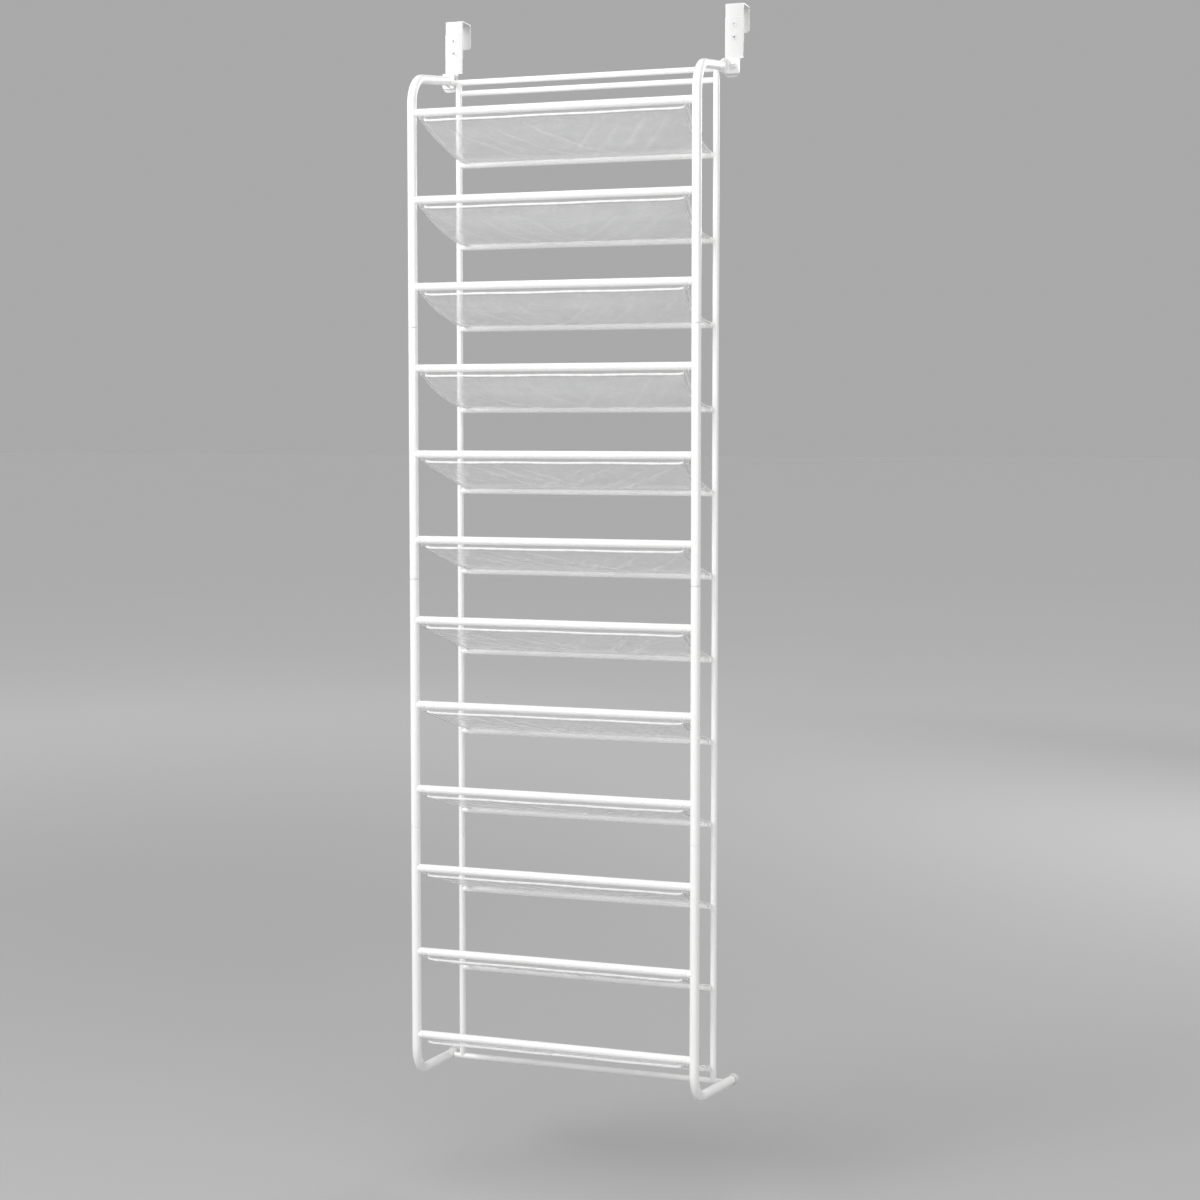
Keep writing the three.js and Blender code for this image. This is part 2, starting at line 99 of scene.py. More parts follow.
class RackTubeSettings(bpy.types.PropertyGroup):
    bend_radius: FloatProperty(
        name="Bend radius",
        description="Radius of the side tubes' bends, at the tube's middle",
        default=0.050, min=0.02, max=0.1, unit="LENGTH")
    leg_slope: FloatProperty(
        name="Leg slope", description="Angle of the legs away from level",
        default=math.radians(7.5), min=0.0, max=0.5, subtype="ANGLE")
    flat_start: FloatProperty(
        name="Flat start",
        description="Distance from the door at which the top legs start to flatten",
        default=-0.060, max=-0.03, unit="LENGTH")
    flat_height: FloatProperty(
        name="Flat height", description="Height of a top leg's pressed end",
        default=0.0248, unit="LENGTH")
    flat_thickness: FloatProperty(
        name="Flat thickness", description="Thickness of a top leg's pressed end",
        default=0.0030, unit="LENGTH")
    neck: FloatProperty(
        name="Neck", description="Length of the narrowed shoulder at each plug joint",
        default=0.0016, unit="LENGTH")
    around: IntProperty(
        name="Faces around", description="Faces round a side tube", default=40, min=16, max=96)


class RackSlingSettings(bpy.types.PropertyGroup):
    sags: FloatVectorProperty(
        name="Sags", description="Sag of each sling at its middle, from the top one down",
        size=12,
        default=(0.014, 0.020, 0.018, 0.020, 0.0055, 0.006,
                 0.0055, 0.0055, 0.005, 0.004, 0.004, 0.004),
        unit="LENGTH")
    edge_share: FloatProperty(
        name="Edge sag", description="Sag of a sling's side edges, as a share of its middle's",
        default=0.72, min=0.0, max=1.5, subtype="FACTOR")
    fold_depth: FloatProperty(
        name="Fold depth", description="Height of the folds that run across a sling",
        default=0.0016, unit="LENGTH")
    pleat_depth: FloatProperty(
        name="Pleat depth",
        description="Height of the pulled pleats that start at a sling's front corners",
        default=0.0030, unit="LENGTH")
    front_half_width: FloatProperty(
        name="Front half width", description="Half of a sling's width at the front rail",
        default=0.2355, unit="LENGTH")
    rear_half_width: FloatProperty(
        name="Rear half width", description="Half of a sling's width at the rear rail",
        default=0.2262, unit="LENGTH")
    film_thickness: FloatProperty(
        name="Film thickness", description="Thickness of the film", default=0.00030, unit="LENGTH")
    seam_drop: FloatProperty(
        name="Seam drop", description="Distance of the front seam below the front rail's middle",
        default=0.0130, unit="LENGTH")
    hem_width: FloatProperty(
        name="Hem width", description="Width of the double hem along the side edges",
        default=0.0095, unit="LENGTH")
    stitch_pitch: FloatProperty(
        name="Stitch pitch", description="Distance from one stitch to the next",
        default=0.0042, unit="LENGTH")


class RackHookSettings(bpy.types.PropertyGroup):
    plate: FloatProperty(
        name="Plate thickness", description="Thickness of the hook's metal",
        default=0.0020, unit="LENGTH")
    corner: FloatProperty(
        name="Bend radius", description="Radius of the plate's bends, at its middle",
        default=0.0016, unit="LENGTH")
    tab_width: FloatProperty(
        name="Tab width", description="Width of the tab that takes the bolt",
        default=0.0270, unit="LENGTH")
    tab_corner: FloatProperty(
        name="Tab corner", description="Radius of the tab's lower corners",
        default=0.0090, unit="LENGTH")
    jog: FloatProperty(
        name="Step height", description="Height at which the strap steps out from the door",
        default=-0.0900, unit="LENGTH")
    collar_top: FloatProperty(
        name="Upper collar", description="Height of the upper collar",
        default=-0.0335, unit="LENGTH")
    collar_bottom: FloatProperty(
        name="Lower collar", description="Height of the lower collar",
        default=-0.0555, unit="LENGTH")
    collar_bore: FloatProperty(
        name="Collar bore", description="Radius of the hole in a collar",
        default=0.0021, unit="LENGTH")


class RackColours(bpy.types.PropertyGroup):
    paint: FloatVectorProperty(
        name="Tube paint", description="Colour of the powder coat on the tubes", subtype="COLOR",
        size=4, default=(0.90, 0.90, 0.893, 1.0), min=0.0, max=1.0)
    hook: FloatVectorProperty(
        name="Hook paint", description="Colour of the paint on the hooks", subtype="COLOR",
        size=4, default=(0.66, 0.66, 0.655, 1.0), min=0.0, max=1.0)
    film: FloatVectorProperty(
        name="Film", description="Colour of the slings' film", subtype="COLOR",
        size=4, default=(0.90, 0.90, 0.91, 1.0), min=0.0, max=1.0)
    film_haze: FloatProperty(
        name="Film haze", description="How much of the view the film hides",
        default=0.21, min=0.0, max=1.0, subtype="FACTOR")
    tape: FloatVectorProperty(
        name="Seam tape", description="Colour of the seams and their thread", subtype="COLOR",
        size=4, default=(0.93, 0.93, 0.925, 1.0), min=0.0, max=1.0)
    cap: FloatVectorProperty(
        name="Foot cap", description="Colour of the foot caps", subtype="COLOR",
        size=4, default=(0.70, 0.69, 0.67, 1.0), min=0.0, max=1.0)


class RackStageSettings(bpy.types.PropertyGroup):
    lens: FloatProperty(
        name="Lens", description="Focal length in millimetres", default=61.37, min=20.0, max=200.0)
    place: FloatVectorProperty(
        name="Camera", description="Where the camera stands", size=3, subtype="TRANSLATION",
        default=(1.1268, -3.4187, -0.7161))
    turn: FloatProperty(
        name="Turn", description="How far the camera is turned to its left",
        default=math.radians(18.01), subtype="ANGLE")
    tilt: FloatProperty(
        name="Tilt", description="How far the camera looks down",
        default=math.radians(3.49), subtype="ANGLE")
    down: FloatProperty(
        name="Frame shift", description="Share of the frame that the view is shifted down",
        default=0.04, min=0.0, max=0.5)
    floor: FloatProperty(
        name="Floor", description="Height of the floor", default=-2.045, unit="LENGTH")
    room: FloatVectorProperty(
        name="Room", description="Colour of the plain space round the rack", subtype="COLOR",
        size=4, default=(0.40, 0.40, 0.40, 1.0), min=0.0, max=1.0)


# ---------------------------------------------------------------- meshes


def eased(share):
    """Three times the share squared less twice its cube: from 0 to 1 without a corner at either."""
    return share * share * (3 - 2 * share)


def quarter_round(distance, radius):
    """How far a rounded corner stands back at each distance from its end: the radius less the root of
    the radius squared minus what is left of the radius squared, and nothing past the radius."""
    left = np.clip(1 - distance / radius, 0, 1)
    return radius * (1 - np.sqrt(1 - left**2))


def tangents(path):
    """The direction at each point of a path: the difference of its neighbours, made one unit long."""
    change = np.gradient(path, axis=0)
    return change / np.linalg.norm(change, axis=1, keepdims=True)


def bent_path(corners, radius, step):
    """A path through corners whose bends are arcs: each arc is its centre plus the radius times
    the cosine and sine of an angle that runs from the incoming to the outgoing leg."""
    corners = np.asarray(corners, float)
    parts = [corners[:1]]
    for before, corner, after in zip(corners[:-2], corners[1:-1], corners[2:]):
        arriving = (corner - before) / np.linalg.norm(corner - before)
        leaving = (after - corner) / np.linalg.norm(after - corner)
        turn = math.acos(float(np.clip(arriving @ leaving, -1, 1)))
        inward = leaving - arriving * (arriving @ leaving)
        inward /= np.linalg.norm(inward)
        centre = corner - arriving * radius * math.tan(turn / 2) + inward * radius
        angle = np.linspace(0, turn, max(4, int(radius * turn / step)))[:, None]
        parts.append(centre - inward * radius * np.cos(angle) + arriving * radius * np.sin(angle))
    parts.append(corners[-1:])
    return np.concatenate(parts)


def filled_path(path, step):
    """The same path with more points, a step apart at most, by straight lines between the given ones."""
    lengths = np.linalg.norm(np.diff(path, axis=0), axis=1)
    counts = np.maximum(1, np.ceil(lengths / step).astype(int))
    rows = [start + (end - start) * (np.arange(n) / n)[:, None]
            for start, end, n in zip(path[:-1], path[1:], counts)]
    return np.concatenate(rows + [path[-1:]])


def with_ends(path, offsets):
    """Adds points near both ends of a path, at the given distances from them."""
    run = distance_along(path)
    wanted = np.unique(np.concatenate([run, offsets, run[-1] - offsets]).round(7))
    wanted = wanted[(wanted >= 0) & (wanted <= run[-1] + 1e-9)]
    return np.stack([np.interp(wanted, run, path[:, k]) for k in range(3)], axis=1)


def distance_along(path):
    return np.concatenate([[0.0], np.cumsum(np.linalg.norm(np.diff(path, axis=0), axis=1))])


class Shells:
    """Gathers grid surfaces and puts them into one mesh."""

    def __init__(self):
        self.points, self.faces, self.uvs, self.marks, self.count = [], [], [], [], 0

    def grid(self, points, close_u=False, close_v=True, caps=True, uv=None, marks=None):
        """Adds the surface P(u, v) of an array (u, v, 3). Its faces join neighbours in u and v, each
        closing on itself or not, and a cap is a fan from the mean of an end ring. Marks are two more
        numbers for each point: how far it is in the open span, and how high on a pleat."""
        rows, columns = points.shape[:2]
        index = np.arange(rows * columns).reshape(rows, columns)
        u, v = (np.arange(n if close else n - 1) for n, close in ((rows, close_u), (columns, close_v)))
        u, v = (a.ravel() for a in np.meshgrid(u, v, indexing="ij"))
        u1, v1 = (u + 1) % rows, (v + 1) % columns
        quads = np.stack([index[u, v], index[u1, v], index[u1, v1], index[u, v1]], axis=1)
        flat = points.reshape(-1, 3)
        fans = np.zeros((0, 3), int)
        if caps and close_v and not close_u:
            flat = np.concatenate([flat, points[:1].mean(1), points[-1:].mean(1)])
            first, last = index[0], index[-1]
            middle = np.full(columns, rows * columns)
            fans = np.concatenate([
                np.stack([middle, first, np.roll(first, -1)], 1),
                np.stack([middle + 1, np.roll(last, -1), last], 1)])
        corner = flat[np.concatenate([quads[:, [0, 1, 2]], quads[:, [0, 2, 3]], fans])]
        closed = close_u or (close_v and caps)
        volume = np.einsum("ij,ij->i", corner[:, 0], np.cross(corner[:, 1], corner[:, 2])).sum()
        if closed and volume < 0:
            quads, fans = quads[:, ::-1], fans[:, ::-1]
        self.points.append(flat)
        self.faces += (quads + self.count).tolist() + (fans + self.count).tolist()
        for store, given in ((self.uvs, uv), (self.marks, marks)):
            plain = np.zeros((len(flat), 2))
            if given is not None:
                plain[: rows * columns] = given.reshape(-1, 2)
            store.append(plain)
        self.count += len(flat)
        return self

    def mesh(self, name):
        made = bpy.data.meshes.new(name)
        made.from_pydata(np.concatenate(self.points), [], self.faces)
        corners = np.zeros(len(made.loops), np.int32)
        made.loops.foreach_get("vertex_index", corners)
        layer = made.uv_layers.new(name="UVMap")
        layer.data.foreach_set("uv", np.concatenate(self.uvs)[corners].astype(np.float32).ravel())
        marks = np.concatenate(self.marks).astype(np.float32)
        if marks.any():
            for column, label in enumerate(("span", "pleat")):
                layer = made.attributes.new(label, "FLOAT", "POINT")
                layer.data.foreach_set("value", np.ascontiguousarray(marks[:, column]))
        made.validate()
        return made


def body_of(node):
    bodies = frame["record"]["behaviour"]["bodies"]
    return next(body for body, members in bodies.items() if node in members)


def piece(node, part, made, finish, sharp=35.0, replaces=True):
    """Puts a mesh into the scene as one piece of the rack. It rides on its node's body, and it stands in
    for the node itself unless it is only an extra. Edges sharper than the given angle stay crisp."""
    made.shade_smooth()
    made.set_sharp_from_angle(angle=math.radians(sharp))
    made.materials.append(finish_of(finish))
    thing = bpy.data.objects.new(f"{node}_{part}", made)
    bpy.context.scene.collection.objects.link(thing)
    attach(thing, body_of(node))
    if replaces:
        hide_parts(node)
    return thing


def tube(path, across, radius, around, height=None, squareness=None):
    """Carries a ring along a path. The ring is width cos(v) across plus height sin(v) along the third
    direction, each raised to a power that turns the circle into a flattened slot."""
    direction = tangents(path)
    third = np.cross(direction, across)
    third /= np.linalg.norm(third, axis=1, keepdims=True)
    angle = np.linspace(0, 2 * math.pi, around, endpoint=False)[None, :]
    power = 1.0 if squareness is None else squareness[:, None]
    cosine = np.sign(np.cos(angle)) * np.abs(np.cos(angle)) ** power
    sine = np.sign(np.sin(angle)) * np.abs(np.sin(angle)) ** power
    height = radius if height is None else height
    return (path[:, None] + across[:, None] * (radius[:, None] * cosine)[..., None]
            + third[:, None] * (height[:, None] * sine)[..., None])


def boolean(made, cutter, operation):
    """The union or difference of two closed meshes, as a new mesh."""
    base = bpy.data.objects.new("boolean_base", made)
    tool = bpy.data.objects.new("boolean_tool", cutter)
    for thing in (base, tool):
        bpy.context.scene.collection.objects.link(thing)
    step = base.modifiers.new("cut", "BOOLEAN")
    step.operation, step.object, step.solver = operation, tool, "EXACT"
    bpy.context.view_layer.update()
    graph = bpy.context.evaluated_depsgraph_get()
    result = bpy.data.meshes.new_from_object(base.evaluated_get(graph))
    for thing in (base, tool):
        bpy.data.objects.remove(thing)
    if len(result.vertices) < len(made.vertices) // 2:
        raise RuntimeError(f"the {operation.lower()} of {made.name} lost most of the mesh")
    return result


def turned(profile, centre, axis, around):
    """Turns a profile of (distance along the axis, radius) rows about an axis through the centre."""
    axis = np.asarray(axis, float) / np.linalg.norm(axis)
    first = np.cross(axis, UP)
    if np.linalg.norm(first) < 1e-6:
        first = ALONG_DOOR
    first = first / np.linalg.norm(first)
    second = np.cross(axis, first)
    angle = np.linspace(0, 2 * math.pi, around, endpoint=False)[:, None]
    ring = np.cos(angle) * first + np.sin(angle) * second
    profile = np.asarray(profile, float)
    return (np.asarray(centre) + profile[:, 0, None, None] * axis
            + profile[:, 1, None, None] * ring[None])


# ---------------------------------------------------------------- materials


class Value:
    """A shader socket that can stand in a Python sum: each operator adds one Math node."""

    def __init__(self, paint, socket):
        self.paint, self.socket = paint, socket

    def math(self, operation, other=0.0, swapped=False):
        pair = (other, self) if swapped else (self, other)
        return self.paint.node("Math", {"operation": operation}, dict(enumerate(pair)))

    def __add__(self, other):
        return self.math("ADD", other)

    def __sub__(self, other):
        return self.math("SUBTRACT", other)

    def __rsub__(self, other):
        return self.math("SUBTRACT", other, swapped=True)

    def __mul__(self, other):
        return self.math("MULTIPLY", other)

    def __pow__(self, other):
        return self.math("POWER", other)

    __radd__, __rmul__ = __add__, __mul__

    def held(self, low=0.0, high=1.0):
        return self.math("MAXIMUM", low).math("MINIMUM", high)

    def step(self, low, high):
        """Rises smoothly from 0 at low to 1 at high."""
        return self.paint.node("MapRange", {"interpolation_type": "SMOOTHSTEP"},
                               {"Value": self, "From Min": low, "From Max": high})


class Paint:
    """One material and the nodes that make it."""

    def __init__(self, name):
        self.material = bpy.data.materials.new(name)
        self.material.use_nodes = True
        self.tree = self.material.node_tree
        self.shader = self.tree.nodes["Principled BSDF"]
        self.place = self.node("TexCoord", out="Object")

    def node(self, kind, settings=(), inputs=(), out=0):
        """Adds a node of a kind, makes its settings, then fills its sockets, and gives one output."""
        made = self.tree.nodes.new("ShaderNode" + kind)
        for key, value in dict(settings).items():
            setattr(made, key, value)
        for key, value in dict(inputs).items():
            self.fill(made.inputs[key], value)
        return Value(self, made.outputs[out])

    def fill(self, socket, value):
        if isinstance(value, Value):
            self.tree.links.new(value.socket, socket)
        else:
            socket.default_value = value

    def set(self, **inputs):
        for key, value in inputs.items():
            self.fill(self.shader.inputs[key.replace("_", " ")], value)

    def noise(self, scale, detail=3.0, rough=0.5, at=None):
        return self.node("TexNoise", {}, {"Vector": at or self.place, "Scale": scale,
                                          "Detail": detail, "Roughness": rough})

    def blend(self, factor, low, high):
        return self.node("Mix", {"data_type": "RGBA"}, {0: factor, 6: low, 7: high}, out=2)

    def stretched(self, scale):
        return self.node("Mapping", {}, {"Vector": self.place, "Scale": scale})

    def bump(self, height, distance, strength=1.0, onto=None):
        inputs = {"Height": height, "Distance": distance, "Strength": strength}
        if onto is not None:
            inputs["Normal"] = onto
        return self.node("Bump", {}, inputs)


BLACK = (0.0, 0.0, 0.0, 1.0)


def grey(level):
    return (level, level, level, 1.0)


def darker(colour, share):
    return tuple(channel * share for channel in colour[:3]) + (1.0,)


def powder_coat(name, colour, gloss, peel):
    """Powder-coated steel: a fine orange peel, cloudy gloss, and a trace of dust in its low places."""
    paint = Paint(name)
    peel_height = paint.noise(950.0, 2.0, 0.45)
    cloud = paint.noise(9.0, 4.0, 0.55)
    speck = paint.noise(420.0, 1.0, 0.4).step(0.70, 0.76)
    scuff = paint.noise(38.0, 5.0, 0.7, at=paint.stretched((1.0, 1.0, 0.35))).step(0.60, 0.82)
    tone = paint.blend(cloud.step(0.3, 0.7) * 0.7, darker(colour, 0.975), colour)
    tone = paint.blend(scuff * 0.10, tone, darker(colour, 0.82))
    tone = paint.blend(speck * 0.18, tone, darker(colour, 0.7))
    rough = gloss + cloud * 0.10 + scuff * 0.12
    height = peel_height + speck * 0.4
    paint.set(Base_Color=tone, Roughness=rough.held(0.15, 0.8), IOR=1.5,
              Coat_Weight=0.22, Coat_Roughness=0.12)
    paint.set(Normal=paint.bump(height, 0.00006, peel))
    return paint.material


def sling_film(name, colour, haze):
    """Clear film with a slight haze: crinkles and handling creases give it bump and gloss, and the
    creases give it faint white lines of painted highlight. Pleats get a painted highlight, whiter and
    less clear, and it hides more of what is behind it where it is seen at a low angle.
    Light from the far side spreads through it. Where it is wrapped round a rail it lies smooth and
    clear."""
    paint = Paint(name)
    span = paint.node("Attribute", {"attribute_name": "span"}, out="Fac")
    pleat = paint.node("Attribute", {"attribute_name": "pleat"}, out="Fac")
    across = paint.stretched((1.0, 2.2, 2.2))
    soft = paint.noise(13.0, 3.0, 0.5, at=across)
    crinkle = paint.noise(60.0, 4.0, 0.5, at=across)
    ripple = paint.noise(14.0, 2.0, 0.55, at=across)
    crease_and_highlight = 1.0 - (ripple - 0.5).math("ABSOLUTE").step(0.0, 0.022)
    grain = paint.noise(1400.0, 1.0, 0.4)
    edge = paint.node("LayerWeight", {}, {"Blend": 0.30}, out="Facing")
    # painted highlight: the film is made less clear along creases and on pleats, as well as hazier where
    # seen at a low angle
    open_alpha = (haze + crease_and_highlight * 0.035 + pleat * 0.42
                  + soft.step(0.35, 0.75) * 0.06 + edge**2.0 * 0.22)
    alpha = 0.05 + span * open_alpha
    # painted highlight: creases and pleats are blended towards white
    tone = paint.blend((crease_and_highlight * 0.3 + pleat).held(), colour, (0.97, 0.97, 0.965, 1.0))
    rough = 0.16 + crinkle * 0.12 + grain * 0.05
    first = paint.bump((crinkle + crease_and_highlight * 0.4) * (span * 0.9 + 0.1), 0.0004, 0.35)
    second = paint.bump(grain, 0.00004, 0.35, onto=first)
    paint.set(Base_Color=tone, Alpha=alpha.held(0.0, 0.92), Roughness=rough.held(0.08, 0.6), IOR=1.48,
              Specular_IOR_Level=0.7, Coat_Weight=0.4, Coat_Roughness=0.08, Subsurface_Weight=0.6,
              Subsurface_Radius=(1.0, 1.0, 1.0), Subsurface_Scale=0.004, Normal=second)
    return paint.material


def edge_tape(colour):
    """Woven binding tape: two sets of ribs that cross, along the tape's own UV, painted lighter on the
    ribs' tops with painted shade between them, and with random wear.
    """
    paint = Paint("edge_tape")
    where = paint.node("UVMap", {"uv_map": "UVMap"})
    ribs = paint.node("SeparateXYZ", {}, {0: where}, out="X") * 4200.0
    wefts = paint.node("SeparateXYZ", {}, {0: where}, out="Y") * 5200.0
    weave = ribs.math("SINE") * 0.5 + 0.5
    cross = wefts.math("SINE") * 0.5 + 0.5
    height = weave.math("MAXIMUM", cross)
    wear = paint.noise(60.0, 3.0, 0.6)
    # painted shade: the weave's low places between the ribs are darkened, with random wear mixed in
    tone = paint.blend(height * 0.6 + wear * 0.3, darker(colour, 0.86), colour)
    paint.set(Base_Color=tone, Roughness=0.62 + wear * 0.12, Sheen_Weight=0.25,
              Normal=paint.bump(height, 0.00008, 0.6))
    return paint.material


def sewing_thread(colour):
    """Twisted sewing thread: fine slanted bands of bump, with painted shade in the grooves between them
    and a little random fuzz.
    """
    paint = Paint("sewing_thread")
    twist = paint.node("TexWave", {"bands_direction": "DIAGONAL"},
                       {"Vector": paint.place, "Scale": 900.0, "Distortion": 0.6})
    fuzz = paint.noise(2200.0, 2.0, 0.5)
    # painted shade: the grooves of the twist are darkened, with random fuzz mixed in
    tone = paint.blend(twist * 0.6 + fuzz * 0.2, darker(colour, 0.80), colour)
    paint.set(Base_Color=tone, Roughness=0.55 + fuzz * 0.2, Sheen_Weight=0.2,
              Normal=paint.bump(twist + fuzz * 0.3, 0.00005, 0.6))
    return paint.material


def moulded_plastic(colour):
    """Soft moulded plastic: fine spark-eroded grain, faint flow lines, and scuffs that hold dirt."""
    paint = Paint("moulded_plastic")
    grain = paint.node("TexVoronoi", {"feature": "F1"}, {"Vector": paint.place, "Scale": 1500.0})
    flow = paint.noise(60.0, 3.0, 0.5, at=paint.stretched((1.0, 4.0, 1.0)))
    scuff = paint.noise(240.0, 4.0, 0.7).step(0.60, 0.80)
    tone = paint.blend(flow * 0.5, darker(colour, 0.94), colour)
    tone = paint.blend(scuff * 0.22, tone, darker(colour, 0.62))
    paint.set(Base_Color=tone, Roughness=(0.48 + flow * 0.12 + scuff * 0.12).held(0.2, 0.9), IOR=1.46,
              Normal=paint.bump(grain + scuff * 0.4, 0.00005, 0.5))
    return paint.material


def zinc_plate():
    """Bright zinc plating: a cloudy film over the metal's gloss, and small dull spots."""
    paint = Paint("zinc_plate")
    cloud = paint.noise(300.0, 4.0, 0.6)
    spot = paint.noise(900.0, 2.0, 0.5).step(0.62, 0.72)
    tone = paint.blend(cloud, (0.80, 0.82, 0.85, 1.0), (0.90, 0.90, 0.88, 1.0))
    tone = paint.blend(spot * 0.4, tone, grey(0.58))
    rough = 0.30 + cloud * 0.16 + spot * 0.20
    paint.set(Base_Color=tone, Metallic=1.0 - spot * 0.3, Roughness=rough.held(0.12, 0.8),
              Normal=paint.bump(cloud + spot * 0.5, 0.00004, 0.5))
    return paint.material


def studio_floor(near, far):
    """Matt studio floor with the faintest mottling. Far from the rack, where less light falls, it is
    paler and glows a trace, so that it runs evenly out to the sky."""
    paint = Paint("studio_floor")
    cloud = paint.noise(1.3, 3.0, 0.5)
    fibre = paint.noise(160.0, 2.0, 0.6)
    distance = paint.node("VectorMath", {"operation": "LENGTH"}, {0: paint.place}, out="Value")
    away = distance.step(2.2, 7.0)
    tone = paint.blend(away, near, far)
    tone = paint.blend(cloud * 0.6 + fibre * 0.2, tone, paint.blend(0.04, tone, BLACK))
    glow = paint.blend(away, BLACK, grey(0.032))
    paint.set(Base_Color=tone, Roughness=0.85, Emission_Color=glow, Emission_Strength=1.0,
              Normal=paint.bump(fibre, 0.0002, 0.15))
    return paint.material


FINISHES = {}


def finish_of(name):
    """The material of that name, made the first time that a piece asks for it."""
    colours = bpy.context.scene.rack_colours
    makers = {
        "tube_paint": lambda: powder_coat("tube_paint", tuple(colours.paint), 0.26, 0.35),
        "hook_paint": lambda: powder_coat("hook_paint", tuple(colours.hook), 0.36, 0.55),
        "film": lambda: sling_film("sling_film", tuple(colours.film), colours.film_haze),
        "hem": lambda: sling_film("hem_film", tuple(colours.film), colours.film_haze + 0.26),
        "tape": lambda: edge_tape(tuple(colours.tape)),
        "thread": lambda: sewing_thread(tuple(colours.tape)),
        "cap": lambda: moulded_plastic(tuple(colours.cap)),
        "zinc": zinc_plate,
        "floor": lambda: studio_floor(grey(0.42), grey(0.95)),
    }
    if name not in FINISHES:
        FINISHES[name] = makers[name]()
    return FINISHES[name]


# ---------------------------------------------------------------- tubes


def side_tube_axis(word):
    """The middle of a side tube's upright run, as X and Y, and its radius."""
    low, high, middle = node_box(f"side_tube_{word}_2")
    radius = (high[1] - low[1]) / 2
    outer = high[0] if SIDES[word] > 0 else low[0]
    return outer - SIDES[word] * radius, middle[1], radius


def top_leg(word, settings):
    """A top leg's corner, the end of its slope, its turn along the door and its tip. The pressed end
    lies in front of the tab, is bolted to it, and reaches a little past the bolt."""
    tab_gap, flat_run, past_bolt, below_bolt = 0.0003, 0.024, 0.011, 0.0005
    x, y, _ = side_tube_axis(word)
    bolt = node_box(f"hook_bolt_{word}")[2]
    tab_front = node_box(f"hook_strap_{word}")[0][1]
    middle = tab_front - tab_gap - settings.flat_thickness / 2
    slope = math.tan(settings.leg_slope)
    corner = np.array([x, y, bolt[2] + (y - middle) * slope])
    level = middle - flat_run
    rise_end = np.array([x, level, bolt[2] + (level - middle) * slope])
    turn = np.array([x, middle, bolt[2] - below_bolt])
    tip = np.array([bolt[0] + SIDES[word] * past_bolt, middle, bolt[2] - below_bolt])
    return corner, rise_end, turn, tip


def bottom_leg(word, settings):
    """The corner of a bottom leg, its foot on the door, and the direction from one to the other."""
    x, y, _ = side_tube_axis(word)
    mounts = frame["record"]["mounts"]
    foot = np.array(next(m["pos_m"] for m in mounts if m["name"] == f"foot_pad_{word}"), float)
    corner = np.array([x, y, foot[2] - (y - foot[1]) * math.tan(settings.leg_slope)])
    return corner, foot, (foot - corner) / np.linalg.norm(foot - corner)


def end_radius(path, radius, settings, plain_start, plain_end):
    """A section's radius along its path: an upper end is rounded over in its first 0.6 millimetres, and
    a lower end that plugs into the next section narrows to a neck along a smooth shoulder."""
    run = distance_along(path)
    left = run[-1] - run
    result = np.full(len(path), radius)
    if not plain_start:
        result -= 0.0003 * np.clip(1 - run / 0.0006, 0, 1) ** 2
    if not plain_end:
        result -= PLUG_STEP * eased(np.clip((settings.neck - left) / settings.neck, 0, 1))
    return result


